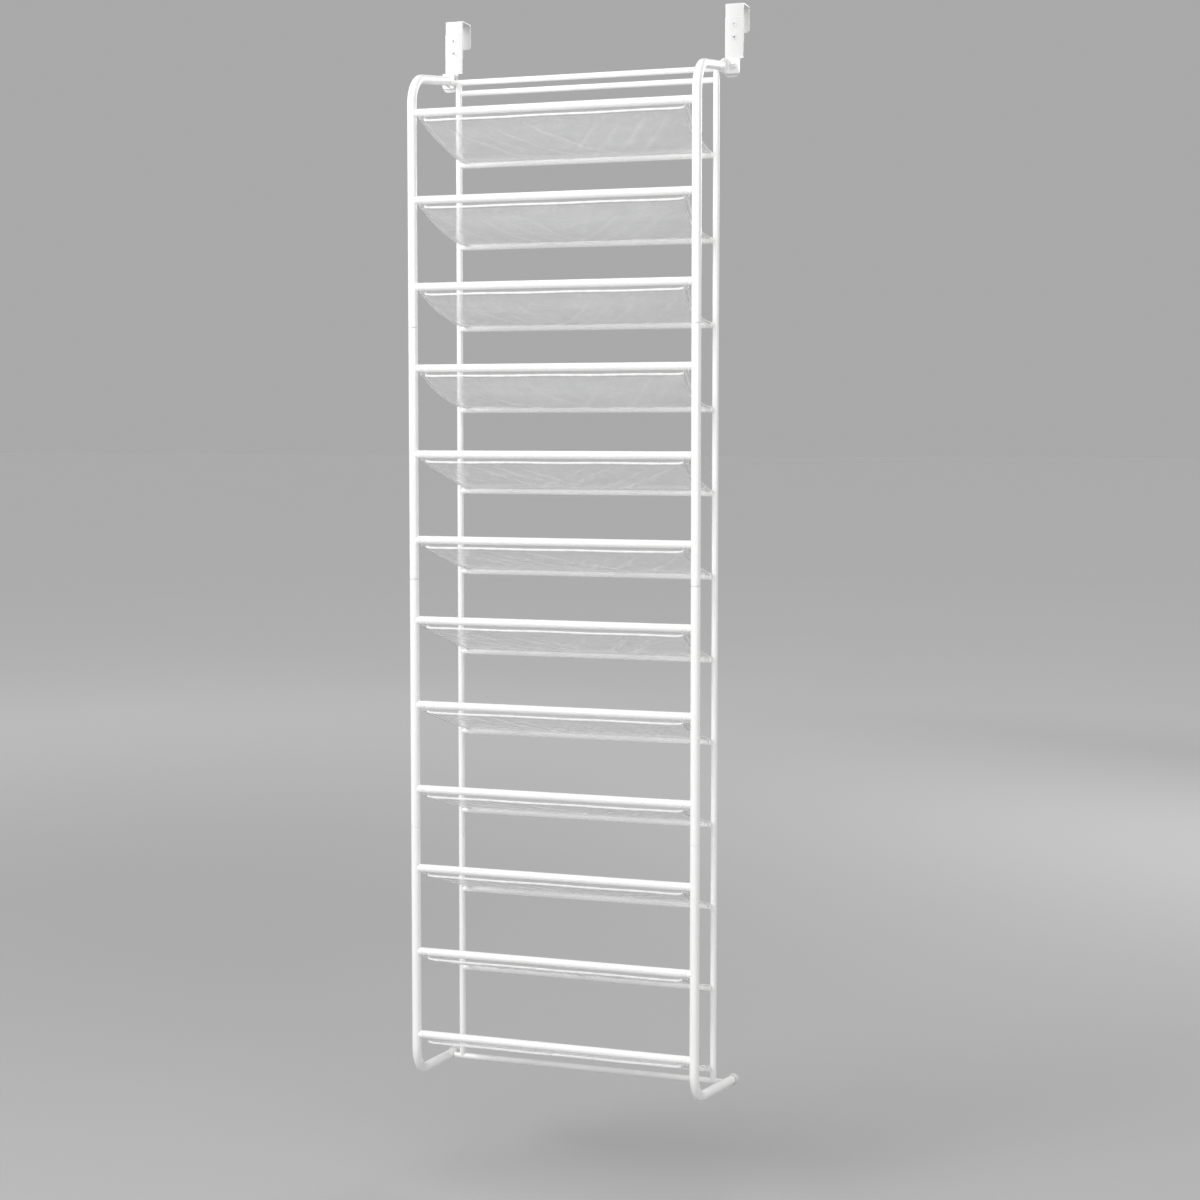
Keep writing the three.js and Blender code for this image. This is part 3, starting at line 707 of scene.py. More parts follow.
class RACK_OT_side_tubes(bpy.types.Operator):
    """Makes the plug-together sections of both side tubes, with their bent legs and pressed ends"""

    bl_idname = "rack.side_tubes"
    bl_label = "Side tubes"

    def execute(self, context):
        settings = context.scene.rack_tubes
        for word in SIDES:
            for section in range(1, SECTIONS + 1):
                self.section(word, section, settings)
        return {"FINISHED"}

    def section(self, word, section, settings):
        """Carries a ring along the section's path. The ring stays square to X on the upright run and the
        leg, and to Z on the pressed end, where it also turns from a circle into a flat slot."""
        name = f"side_tube_{word}_{section}"
        x, y, radius = side_tube_axis(word)
        low, high, _ = node_box(name)
        top = np.array([x, y, high[2]])
        end = np.array([x, y, low[2]])
        if section < SECTIONS:
            end[2] = node_box(f"side_tube_{word}_{section + 1}")[1][2] - JOINT_GAP
        first, last = section == 1, section == SECTIONS
        if first:
            corner, rise_end, turn, tip = top_leg(word, settings)
            leg = bent_path([end, corner, rise_end], settings.bend_radius, 0.004)
            press = bent_path([rise_end, turn, tip], 0.0035, 0.0006)
            path = np.concatenate([leg, press[1:]])[::-1]
        elif last:
            corner, foot, direction = bottom_leg(word, settings)
            end = foot - direction * 0.0062
            path = bent_path([top, corner, end], settings.bend_radius, 0.004)
        else:
            path = np.stack([top, end])
        path = filled_path(path, 0.008 if not first else 0.0025)
        ends = np.array([0.0, 0.0006, 0.0012, settings.neck * 0.5, settings.neck])
        path = with_ends(path, ends)
        across = np.tile(ALONG_DOOR, (len(path), 1))
        width = end_radius(path, radius, settings, first, last)
        height, power = width.copy(), np.ones(len(path))
        if last:
            across = self.square_to(path, ALONG_DOOR)
        if first:
            past = np.clip((path[:, 1] - settings.flat_start) / PRESS_LENGTH, 0, 1)
            pressed = eased(past * (path[:, 2] > -0.15))
            width = width + (settings.flat_thickness / 2 - width) * pressed
            height = height + (settings.flat_height / 2 - height) * pressed
            power = 1 - 0.72 * pressed
            height = height - quarter_round(distance_along(path), 0.004)
            flat = pressed > 0.999
            sideways = np.cross(tangents(path), UP)
            sideways /= np.linalg.norm(sideways, axis=1, keepdims=True).clip(1e-9)
            across[flat] = sideways[flat]
            across = across * np.where(across @ ALONG_DOOR < -0.2, -1.0, 1.0)[:, None]
            across = self.keep_turning(across)
        rings = tube(path, across, width, settings.around, height, power)
        made = Shells().grid(rings).mesh(name)
        piece(name, "tube", made, "tube_paint")

    @staticmethod
    def square_to(path, direction):
        """The given direction made square to the path at each of its points."""
        along = tangents(path)
        result = direction - along * (along @ direction)[:, None]
        return result / np.linalg.norm(result, axis=1, keepdims=True)

    @staticmethod
    def keep_turning(across):
        """Flips the rings' directions where neighbours point opposite ways, by the running product of
        the signs of their dot products."""
        signs = np.sign(np.einsum("ij,ij->i", across[1:], across[:-1]))
        signs[signs == 0] = 1
        return across * np.concatenate([[1.0], np.cumprod(signs)])[:, None]


def coped_rail(name, ends, tube_radius, around):
    """A straight tube along X whose ends are cut to fit round tubes: each end's X is the other tube's
    middle, less the square root of its radius squared minus the ring's own offset squared."""
    low, high, middle = node_box(name)
    radius = (high[2] - low[2]) / 2
    angle = np.linspace(0, 2 * math.pi, around, endpoint=False)
    offset = radius * np.cos(angle)
    reach = ends - np.sqrt(np.maximum(tube_radius**2 - offset**2, 0)) - JOINT_GAP / 2
    share = np.concatenate([[-1.0, -0.998], np.linspace(-0.96, 0.96, 13), [0.998, 1.0]])
    ring = np.stack([np.zeros(around), offset, radius * np.sin(angle)], 1)
    points = middle * [0, 1, 1] + np.broadcast_to(ring, (len(share), around, 3)).copy()
    points[..., 0] = share[:, None] * reach[None, :]
    points[[0, -1], :, 1:] = middle[1:] + (points[[0, -1], :, 1:] - middle[1:]) * 0.985
    return Shells().grid(points).mesh(name)


class RACK_OT_rails(bpy.types.Operator):
    """Makes the front rails, the rear rails and the plain cross rails, cut to fit the tubes they meet"""

    bl_idname = "rack.rails"
    bl_label = "Rails"

    def execute(self, context):
        x, _, side_radius = side_tube_axis("right")
        low, high, _ = node_box("rear_upright_right")
        upright_radius = (high[1] - low[1]) / 2
        upright_x = high[0] - upright_radius
        for name in tier_names("front_rail"):
            self.rail(name, x, side_radius, 40)
        for name in [*tier_names("rear_rail"), "second_cross_rail"]:
            self.rail(name, upright_x, upright_radius, 32)
        for name in ("top_cross_rail", "bottom_cross_rail"):
            self.rail(name, node_box(name)[1][0] + JOINT_GAP, 0.0, 32)
        return {"FINISHED"}

    def rail(self, name, ends, radius, around):
        made = coped_rail(name, ends, radius, around)
        piece(name, "tube", made, "tube_paint")


class RACK_OT_rear_uprights(bpy.types.Operator):
    """Makes the two thin rear uprights, from the top cross rail to the bottom one"""

    bl_idname = "rack.rear_uprights"
    bl_label = "Rear uprights"

    def execute(self, context):
        for word, side in SIDES.items():
            name = f"rear_upright_{word}"
            low, high, middle = node_box(name)
            radius = (high[1] - low[1]) / 2
            x = (high[0] if side > 0 else low[0]) - side * radius
            made = Shells().grid(self.upright(x, middle[1], radius)).mesh(name)
            piece(name, "tube", made, "tube_paint")
        return {"FINISHED"}

    @staticmethod
    def upright(x, y, radius):
        """A straight tube along Z whose ends are cut to fit the cross rails: each end's Z is the rail's
        middle, less the root of the rail's radius squared minus the ring's own offset in Y squared."""
        angle = np.linspace(0, 2 * math.pi, 32, endpoint=False)
        offset = radius * np.sin(angle)
        ends = []
        for name, sign in (("top_cross_rail", -1), ("bottom_cross_rail", 1)):
            low, high, middle = node_box(name)
            rail = (high[2] - low[2]) / 2
            reach = np.sqrt(np.maximum(rail**2 - offset**2, 0)) + JOINT_GAP
            ends.append(middle[2] + sign * reach)
        share = np.concatenate([[0.0, 0.0006], np.linspace(0.02, 0.98, 33), [0.9994, 1.0]])[:, None]
        z = ends[0] * (1 - share) + ends[1] * share
        shrink = np.ones((len(share), 1))
        shrink[[0, -1]] = 0.985
        return np.stack([x + shrink * radius * np.cos(angle), y + shrink * offset, z], axis=-1)


# ---------------------------------------------------------------- slings


class Sling:
    """The shape of one sling: where the film is for any place across it and any place along it."""

    def __init__(self, number, settings):
        self.settings = settings
        self.number = number
        self.middle_sag = settings.sags[number - 1]
        front_low, front_high, self.front = node_box(f"front_rail_{number:02d}")
        rear_low, rear_high, self.rear = node_box(f"rear_rail_{number:02d}")
        play = 0.0002 + settings.film_thickness
        self.front_wrap = (front_high[2] - front_low[2]) / 2 + play
        self.rear_wrap = (rear_high[2] - rear_low[2]) / 2 + play

    def turn(self, phase):
        """A number from 0 to 1 that differs from sling to sling: the part after the point of the sling's
        number times the golden ratio plus a phase."""
        return (self.number * 0.618034 + phase) % 1.0

    def half_width(self, along):
        """The half width runs from the front's to the rear's in a straight line, pulled in a little
        between the rails, where the film is tight along its edges."""
        wide, narrow = self.settings.front_half_width, self.settings.rear_half_width
        t = np.clip(along, 0, 1)
        return wide + (narrow - wide) * t - 0.0035 * np.sin(math.pi * t) ** 2

    def pleats(self, s, t):
        """Straight pleats from the front corners towards the rear rail's middle. Each is a ridge with a
        bell shape across its line, narrow where it starts and wider where it ends, and it fades in and
        out along the line. Tight slings have stronger ones than slack slings."""
        tight = 1.35 - 1.17 * min(1.0, self.middle_sag / 0.018)
        total = np.zeros(np.broadcast(s, t).shape)
        for k in range(8):
            side = 1 if k % 2 else -1
            start = side * (0.99 - 0.20 * (k // 2) - 0.12 * self.turn(0.37 * k))
            end = start - side * (0.34 + 0.42 * self.turn(0.53 * k + 0.1))
            line = start + (end - start) * t
            width = 0.012 + (0.018 + 0.018 * self.turn(0.29 * k + 0.4)) * t
            begin, stop = 0.04 + 0.10 * self.turn(0.61 * k), 0.75 + 0.25 * self.turn(0.83 * k)
            along = np.clip((t - begin) / 0.15, 0, 1) * np.clip((stop - t) / 0.30, 0, 1)
            size = (0.45 + 0.55 * self.turn(0.71 * k)) * tight
            total = total + size * along * np.exp(-(((s - line) / width) ** 2))
        return total

    def folds(self, s, t):
        """Slow waves from side to side, with the puckers that a seam pulls into the film beside it. All
        of it dies away at the two rails."""
        fade = np.sin(math.pi * np.clip(t, 0, 1)) ** 0.8
        waves = 0
        for height, across, along, phase in ((0.50, 2.3 + self.turn(0.2), 0.35, 0.5),
                                             (0.28, 4.7 + 1.5 * self.turn(0.7), -0.8, 0.1),
                                             (0.12, 11.0, 1.2, 0.3)):
            waves = waves + height * np.sin(2 * math.pi * (s * across + along * t + self.turn(phase)))
        pucker = np.sin(2 * math.pi * (s * 15.5 + self.turn(0.9)))
        pucker = pucker * np.sin(2 * math.pi * (s * 6.1 + 0.2))
        near = np.clip(t / 0.05, 0, 1) * np.exp(-((t / 0.14) ** 2))
        return fade * waves * (1 - 0.35 * s * s) + 0.30 * pucker * near

    def sag(self, s):
        """Deepest at the middle, least at the edges, and a little to one side on each sling."""
        shifted = np.clip(s - 0.18 * (self.turn(0.45) - 0.5), -1, 1)
        share = self.settings.edge_share
        return self.middle_sag * (share + (1 - share) * (1 - shifted**2) ** 0.8)

    def seam_height(self, s):
        """The seam lies straight below the rail, but the last part at each side is pulled up."""
        lift = np.clip((np.abs(s) - 0.90) / 0.10, 0, 1) ** 2
        return self.front[2] - self.settings.seam_drop + 0.0042 * lift

    def lines(self, loop_steps, span_steps):
        """The values of u along the film: 0 to 1 is the front sleeve, 1 to 2 the hanging span and
        2 to 3 the rear sleeve."""
        ease = np.linspace(0, 1, span_steps + 1)
        ease = ease - 0.06 * np.sin(2 * math.pi * ease)
        front, rear = np.linspace(0, 1, loop_steps), np.linspace(2, 3, loop_steps)
        return np.concatenate([front[:-1], 1 + ease[:-1], rear])

    def at(self, s, u):
        """The film's points. The front sleeve is a drop: a circle round the rail that runs into its seam
        along tangent lines. The span is a straight line from the seam to the top of the rear rail, less
        four times the sag times t times one minus t, plus folds and pleats. The rear sleeve is a circle
        that goes back over the rail, down behind it and up in front."""
        s, u = np.broadcast_arrays(np.asarray(s, float), np.asarray(u, float))
        t = np.clip(u - 1, 0, 1)
        seam = 0.0005
        z0 = self.seam_height(s)
        y0 = self.front[1] + seam
        sag = self.sag(s)
        rise = (self.rear[2] + self.rear_wrap - z0 + 4 * sag) / (self.rear[1] - y0)
        arriving = math.pi / 2 + np.arctan(rise)
        y1 = self.rear[1] + self.rear_wrap * np.cos(arriving)
        z1 = self.rear[2] + self.rear_wrap * np.sin(arriving)
        settings = self.settings
        relief = settings.fold_depth * self.folds(s, t) + settings.pleat_depth * self.pleats(s, t)
        y = y0 + (y1 - y0) * t
        z = z0 + (z1 - z0) * t - 4 * sag * t * (1 - t) + relief
        part = np.clip(u, 0, 1)
        round_part = np.clip((part - 0.14) / 0.72, 0, 1)
        angle = np.radians(225 - 270 * round_part)
        circle_y = self.front[1] + self.front_wrap * np.cos(angle)
        circle_z = self.front[2] + self.front_wrap * np.sin(angle)
        drop = np.clip(np.where(part < 0.5, 1 - part / 0.14, (part - 0.86) / 0.14), 0, 1)
        foot_y = self.front[1] + np.where(part < 0.5, -seam, seam)
        y = np.where(u < 1, circle_y + (foot_y - circle_y) * drop, y)
        z = np.where(u < 1, circle_z + (z0 - circle_z) * drop, z)
        part = np.clip(u - 2, 0, 1)
        angle = arriving + (math.radians(-215) - arriving) * part
        wrap = self.rear_wrap + 0.0001 * np.sin(math.pi * part)
        y = np.where(u > 2, self.rear[1] + wrap * np.cos(angle), y)
        z = np.where(u > 2, self.rear[2] + wrap * np.sin(angle), z)
        return np.stack([s * self.half_width(t), y, z], axis=-1)

    def film(self, across_steps=140):
        """The film's grid, its UV in metres, its flat size and its marks."""
        s = np.linspace(-1, 1, across_steps + 1)[None, :]
        u = self.lines(SLEEVE_STEPS, SPAN_STEPS)[:, None]
        points = self.at(s, u)
        run = distance_along(points[:, across_steps // 2])
        uv = np.stack(np.broadcast_arrays(points[..., 0], run[:, None]), axis=-1)
        flat = (2 * self.settings.front_half_width, float(run[-1]))
        return points, uv, flat, self.marks(s, u)

    def marks(self, s, u):
        """How open and how pleated the film is: open in the hanging span, easing off at both sleeves,
        and pleated where the pleats stand highest."""
        t = np.clip(u - 1, 0, 1)
        span = np.clip(t / 0.03, 0, 1) * np.clip((1 - t) / 0.03, 0, 1)
        return np.stack(np.broadcast_arrays(span, np.clip(self.pleats(s, t), 0, 1) * span), axis=-1)

    def strip(self, s, u, width, thickness):
        """A thin rounded strip that follows the film along a side edge: its section is a flattened slot,
        wide along X and thin along the film's own normal."""
        line = self.at(s, u)
        direction = tangents(line)
        normal = np.cross(direction, ALONG_DOOR)
        normal /= np.linalg.norm(normal, axis=1, keepdims=True)
        angle = np.linspace(0, 2 * math.pi, 12, endpoint=False)[None, :]
        wide = np.sign(np.cos(angle)) * np.abs(np.cos(angle)) ** 0.45 * width / 2
        thin = np.sin(angle) * thickness / 2
        points = line[:, None] + ALONG_DOOR * wide[..., None] + normal[:, None] * thin[..., None]
        run = distance_along(line)
        uv = np.stack(np.broadcast_arrays(wide, run[:, None]), axis=-1)
        marks = np.broadcast_to(self.marks(s, u)[:, None], (len(u), 12, 2))
        return points, uv, marks

    def seam(self, reach, height, thickness):
        """The sewn seam along X: a flattened slot, tall and thin, that swells and thins a little along
        its length and follows the seam's own line up at its ends."""
        x = np.linspace(-reach, reach, 161)[:, None]
        angle = np.linspace(0, 2 * math.pi, 12, endpoint=False)[None, :]
        swell = 1 + 0.08 * np.sin(x * 160 + self.number) + 0.05 * np.sin(x * 410)
        tall = np.sign(np.sin(angle)) * np.abs(np.sin(angle)) ** 0.6 * height / 2 * swell
        thin = np.cos(angle) * thickness / 2 * swell
        z = self.seam_height(x / self.settings.front_half_width) + self.wander(x) + tall
        y = self.front[1] + thin - 0.0002
        points = np.stack(np.broadcast_arrays(x, y, z), axis=-1)
        uv = np.stack(np.broadcast_arrays(tall, x), axis=-1)
        return points, uv

    def wander(self, x):
        return 0.0003 * np.sin(x * 38 + 2.1 * self.number)


def stitches(shells, places, directions, normals, length, radius):
    """Adds one short thread for each place: a spindle along the direction, thickest at its middle by
    the root of a sine, and flattened along the normal."""
    along = np.linspace(0, 1, 5)
    girth = radius * np.sqrt(np.sin(math.pi * (0.08 + 0.84 * along)))
    angle = np.linspace(0, 2 * math.pi, 6, endpoint=False)
    sideways = np.cross(directions, normals)
    arch = 0.35 * radius * np.sin(math.pi * along)
    for place, direction, normal, side in zip(places, directions, normals, sideways):
        ring = (side * (girth[:, None] * np.cos(angle))[..., None]
                + normal * (0.8 * girth[:, None] * np.sin(angle) + arch[:, None])[..., None])
        shells.grid(place + direction * (length * (along - 0.5))[:, None, None] + ring)


class RACK_OT_slings(bpy.types.Operator):
    """Makes the see-through slings with their double hems, front seams and stitching"""

    bl_idname = "rack.slings"
    bl_label = "Slings"

    def execute(self, context):
        for number in range(1, TIERS + 1):
            self.sling(Sling(number, context.scene.rack_slings), f"sling_{number:02d}")
        return {"FINISHED"}

    def sling(self, shape, node):
        points, uv, flat, marks = shape.film()
        shells = Shells().grid(points, close_v=False, caps=False, uv=uv, marks=marks)
        film = piece(node, "film", shells.mesh(node + "_film"), "film", sharp=80.0)
        wall = film.modifiers.new("Wall", "SOLIDIFY")
        wall.thickness, wall.offset = shape.settings.film_thickness, 0.0
        extras = [
            piece(node, part, make(shape).mesh(f"{node}_{part}"), finish, sharp, False)
            for part, make, finish, sharp in (("hems", self.hems, "hem", 60.0),
                                              ("seams", self.seams, "tape", 60.0),
                                              ("stitches", self.sewing, "thread", 180.0))]

    def hems(self, shape):
        """The folded-over film along both side edges, a layer of its own just outside the film."""
        shells = Shells()
        width = shape.settings.hem_width
        for side in (-1, 1):
            s = side * (1 - width / 2 / shape.settings.front_half_width)
            u = shape.lines(SLEEVE_STEPS, SPAN_STEPS)
            points, uv, marks = shape.strip(s, u, width, HEM_THICKNESS)
            shells.grid(points, uv=uv, marks=marks)
        return shells

    def seams(self, shape):
        """The front seam, and the rolled beads along both edges of each side hem."""
        settings = shape.settings
        reach = settings.front_half_width - settings.hem_width
        points, uv = shape.seam(reach, SEAM_HEIGHT, SEAM_THICKNESS)
        shells = Shells().grid(points, uv=uv)
        u = shape.lines(20, SPAN_STEPS)[12:-17]
        for side in (-1, 1):
            for inset, width in ((0.0007, 0.0014), (settings.hem_width, 0.0016)):
                s = side * (1 - inset / settings.front_half_width)
                points, uv, _ = shape.strip(s, u, width, BEAD_THICKNESS)
                shells.grid(points, uv=uv)
        return shells

    def sewing(self, shape):
        """A row of stitches on both faces of the front seam, and one on both faces of each hem."""
        shells = Shells()
        settings = shape.settings
        pitch = settings.stitch_pitch
        thread = (pitch * STITCH_SHARE, STITCH_RADIUS)
        reach = settings.front_half_width - settings.hem_width
        x = np.arange(-reach + 0.002, reach, pitch)
        forward = np.tile([0.0, -1.0, 0.0], (len(x), 1))
        height = shape.seam_height(x / settings.front_half_width) + shape.wander(x)
        for y, facing in ((-0.00105, forward), (0.00065, -forward)):
            place = np.stack([x, np.full_like(x, shape.front[1] + y), height], axis=1)
            stitches(shells, place, np.tile(ALONG_DOOR, (len(x), 1)), facing, *thread)
        u = np.linspace(1.0, 2.0, int(0.19 / pitch) + 2)[1:-1]
        for side in (-1, 1):
            s = side * (1 - (settings.hem_width - 0.0022) / settings.front_half_width)
            place = shape.at(s, u)
            direction = tangents(place)
            normal = np.cross(ALONG_DOOR, direction)
            normal *= np.sign(normal[:, 2:])
            for facing in (normal, -normal):
                stitches(shells, place + facing * 0.0004, direction, facing, *thread)
        return shells


# ---------------------------------------------------------------- hooks and feet


def plate_strip(path, half_width, thickness, name, edge=PLATE_EDGE):
    """A bent plate: its section is a flat slot with rounded edges, carried along a path in the Y-Z
    plane, and its half width may change along the path. Near both ends it thins by the same quarter
    round as its edges have."""
    direction = tangents(path)
    normal = np.cross(direction, ALONG_DOOR)
    normal /= np.linalg.norm(normal, axis=1, keepdims=True)
    quarter = np.linspace(0, math.pi / 2, 5)
    corner = np.stack([edge * (np.cos(quarter) - 1), edge * (np.sin(quarter) - 1)], axis=1)
    signs = [(1, 1), (-1, 1), (-1, -1), (1, -1)]
    wide, thin, on_edge = [], [], []
    for k, (a, b) in enumerate(signs):
        part = corner if k % 2 == 0 else corner[::-1]
        wide.append(a * part[:, 0])
        thin.append(b * (part[:, 1] + thickness / 2))
        on_edge.append(np.full(len(part), a))
    wide, thin, sign = (np.concatenate(parts) for parts in (wide, thin, on_edge))
    across = sign[None, :] * half_width[:, None] + wide[None, :]
    across = np.where(sign[None, :] * across < 0, 0.0, across)
    run = distance_along(path)
    thinner = 1 - quarter_round(np.minimum(run, run[-1] - run), edge) / (thickness / 2)
    points = (path[:, None] + ALONG_DOOR * across[..., None]
              + normal[:, None] * (thin[None, :] * thinner[:, None])[..., None])
    return Shells().grid(points).mesh(name)


def end_rounding(run, length, half_width, start, end):
    """A strip's half width along it: near each end less a quarter round, of its own radius."""
    return half_width - quarter_round(run, start) - quarter_round(length - run, end)


def fine_ends(path, radius, count=9):
    """Adds points close together near both ends, so that a rounded corner has enough of them."""
    near = radius * (1 - np.cos(np.linspace(0, math.pi / 2, count)))
    return with_ends(path, np.concatenate([near, [0.00006, 0.00015, 0.00030, 0.00055]]))


def peg(x, z, from_y, to_y, radius, around=40):
    """A plain round bar along Y, to add to a plate or cut from it."""
    rows = [(from_y, radius), (to_y, radius)]
    return Shells().grid(turned(rows, (x, 0, z), (0, 1, 0), around)).mesh("peg")


class RACK_OT_hooks(bpy.types.Operator):
    """Makes the two door hooks with their collars, and the straps that step out to the bolts"""

    bl_idname = "rack.hooks"
    bl_label = "Door hooks"

    def execute(self, context):
        settings = context.scene.rack_hooks
        for word in SIDES:
            self.hook(word, settings)
            self.strap(word, settings)
        return {"FINISHED"}

    def hook(self, word, settings):
        """The plate's path goes up behind the door, over it and down its face. Each collar is a turned
        profile that passes through the strap and is flared over it."""
        name = f"door_hook_{word}"
        low, high, middle = node_box(name)
        x, face, half = middle[0], low[1], settings.plate / 2
        back, front, top = high[1] - half, -half, high[2] - half
        corners = [(x, back, HOOK_BACK_END), (x, back, top), (x, front, top), (x, front, low[2])]
        path = filled_path(bent_path(corners, settings.corner, 0.0004), 0.006)
        path = fine_ends(path, 0.004)
        run = distance_along(path)
        width = end_rounding(run, run[-1], (high[0] - low[0]) / 2, 0.004, 0.003)
        made = plate_strip(path, width, settings.plate, name)
        profile = [(-0.0003, COLLAR_RADIUS), (face + 0.0001, COLLAR_RADIUS),
                   (face - 0.00005, 0.0037), (face - 0.0002, 0.0044), (face - 0.00045, 0.0046),
                   (face - 0.0007, 0.0043), (face - 0.00072, 0.0034), (face - 0.0006, 0.0024)]
        heights = (settings.collar_top, settings.collar_bottom)
        for z in heights:
            collar = Shells().grid(turned(profile, (x, 0, z), (0, 1, 0), 40)).mesh("collar")
            made = boolean(made, collar, "UNION")
        for z in heights:
            bore = peg(x, z, face - 0.004, 0.004, settings.collar_bore)
            made = boolean(made, bore, "DIFFERENCE")
        made.name = name
        made.materials.clear()
        piece(name, "plate", made, "hook_paint", sharp=32.0)

    def strap(self, word, settings):
        """The strap's path goes down the front of the hook plate, steps out from the door and ends in a
        narrower tab whose lower corners are round."""
        name = f"hook_strap_{word}"
        low, high, middle = node_box(name)
        half = settings.plate / 2
        near, out, x = high[1] - half, low[1] + half, middle[0]
        corners = [(x, near, high[2]), (x, near, settings.jog),
                   (x, out, settings.jog - 0.003), (x, out, low[2])]
        path = filled_path(bent_path(corners, settings.corner, 0.0004), 0.005)
        path = fine_ends(path, settings.tab_corner, 14)
        run = distance_along(path)
        wide, tab = (high[0] - low[0]) / 2, settings.tab_width / 2
        width = end_rounding(run, run[-1], wide, 0.0025, settings.tab_corner)
        below_jog = settings.jog - 0.0035 - path[:, 2]
        width = width - (wide - tab) * eased(np.clip(below_jog / 0.004, 0, 1))
        made = plate_strip(path, width, settings.plate, name)
        for z in (settings.collar_top, settings.collar_bottom):
            made = boolean(made, peg(x, z, low[1], 0.004, COLLAR_HOLE), "DIFFERENCE")
        bolt = node_box(f"hook_bolt_{word}")[2]
        hole = peg(bolt[0], bolt[2], low[1] - 0.004, high[1], BOLT_HOLE)
        made = boolean(made, hole, "DIFFERENCE")
        made.name = name
        made.materials.clear()
        piece(name, "plate", made, "hook_paint", sharp=32.0)


class RACK_OT_bolts(bpy.types.Operator):
    """Makes the pan-head bolts and the nuts behind the tabs"""

    bl_idname = "rack.bolts"
    bl_label = "Bolts and nuts"

    def execute(self, context):
        for word in SIDES:
            self.bolt(word)
            self.nut(word)
        return {"FINISHED"}

    def bolt(self, word):
        """The head is a low dome whose points are pushed in where the smaller of their two offsets is
        inside a cross's arm. The shank's radius follows a helix: a triangle wave of angle plus height."""
        name = f"hook_bolt_{word}"
        low, high, middle = node_box(name)
        strap_front = node_box(f"hook_strap_{word}")[0][1]
        head_back = strap_front - 0.0036
        head = (high[0] - low[0]) / 2
        share = np.linspace(0.0, 1.0, 34)
        dome = np.stack([low[1] + 0.0009 * share**2 + 0.0012 * share**10,
                         np.maximum(head * share * (1 - 0.04 * share**8), 1e-5)], 1)
        skirt = np.array([(low[1] + 0.0026, head), (head_back - 0.0003, head),
                          (head_back, head - 0.0003), (head_back, BOLT_HOLE)])
        shank_y = np.linspace(head_back + 0.0001, high[1] - 0.0006, 110)
        shank = np.stack([shank_y, np.full_like(shank_y, 0.0028)], 1)
        tip = np.array([(high[1] - 0.0002, 0.0025), (high[1], 0.0021)])
        rows = np.concatenate([dome, skirt, shank, tip])
        points = turned(rows, (middle[0], 0, middle[2]), (0, 1, 0), 72)
        offset = points - [middle[0], 0, middle[2]]
        radius = np.hypot(offset[..., 0], offset[..., 2])
        small = np.minimum(np.abs(offset[..., 0]), np.abs(offset[..., 2]))
        arm = np.clip((0.00062 - small) / 0.00025, 0, 1) * np.clip((0.0026 - radius) / 0.0004, 0, 1)
        row = np.arange(len(rows))[:, None]
        depth = 0.0012 * arm * np.clip(1.2 - radius / 0.0028, 0.2, 1)
        points[..., 1] += np.where(row < len(dome), depth, 0)
        angle = np.arctan2(offset[..., 2], offset[..., 0]) / (2 * math.pi)
        wave = 2 * np.abs((angle + points[..., 1] / BOLT_PITCH) % 1.0 - 0.5)
        is_shank = (row >= len(dome) + len(skirt)) & (row < len(rows) - len(tip))
        threaded = (BOLT_ROOT + BOLT_THREAD * wave) / np.maximum(radius, 1e-6)
        growth = np.where(is_shank, threaded, 1.0)
        points[..., 0] = middle[0] + offset[..., 0] * growth
        points[..., 2] = middle[2] + offset[..., 2] * growth
        made = Shells().grid(points).mesh(name)
        piece(name, "steel", made, "zinc", sharp=40.0)

    def nut(self, word):
        """The outside is a hexagon, its inner radius over the cosine of the angle from the nearest flat,
        held inside a cone at each face. The inside is a plain round hole."""
        name = f"hook_nut_{word}"
        low, high, middle = node_box(name)
        corner = (high[2] - low[2]) / 2
        flat = corner * math.cos(math.pi / 6)
        angle = np.linspace(0, 2 * math.pi, 96, endpoint=False)
        hexagon = flat / np.cos((angle % (math.pi / 3)) - math.pi / 6)
        thick = high[1] - low[1]
        cone = np.array([0, 0.0003, 0.0007, 0.0012])
        depth = np.concatenate([cone, np.linspace(0.0018, thick - 0.0018, 5), thick - cone[::-1]])
        near = np.minimum(depth, thick - depth)[:, None]
        outside = np.minimum(hexagon[None, :], flat * 0.985 + near * 1.9)
        bore = np.array([thick, thick - 0.0006, thick / 2, 0.0006, 0.0])
        bore_radius = np.array([0.0037, 0.0034, 0.0034, 0.0034, 0.0037])
        inside = np.broadcast_to(bore_radius[:, None], (len(bore), len(angle)))
        radius = np.concatenate([outside, inside])
        y = low[1] + np.concatenate([depth, bore])[:, None]
        turned_by = angle + math.pi / 2 + math.pi / 6
        points = np.stack([middle[0] + radius * np.cos(turned_by), np.broadcast_to(y, radius.shape),
                           middle[2] + radius * np.sin(turned_by)], axis=-1)
        made = Shells().grid(points, close_u=True).mesh(name)
        piece(name, "steel", made, "zinc", sharp=25.0)


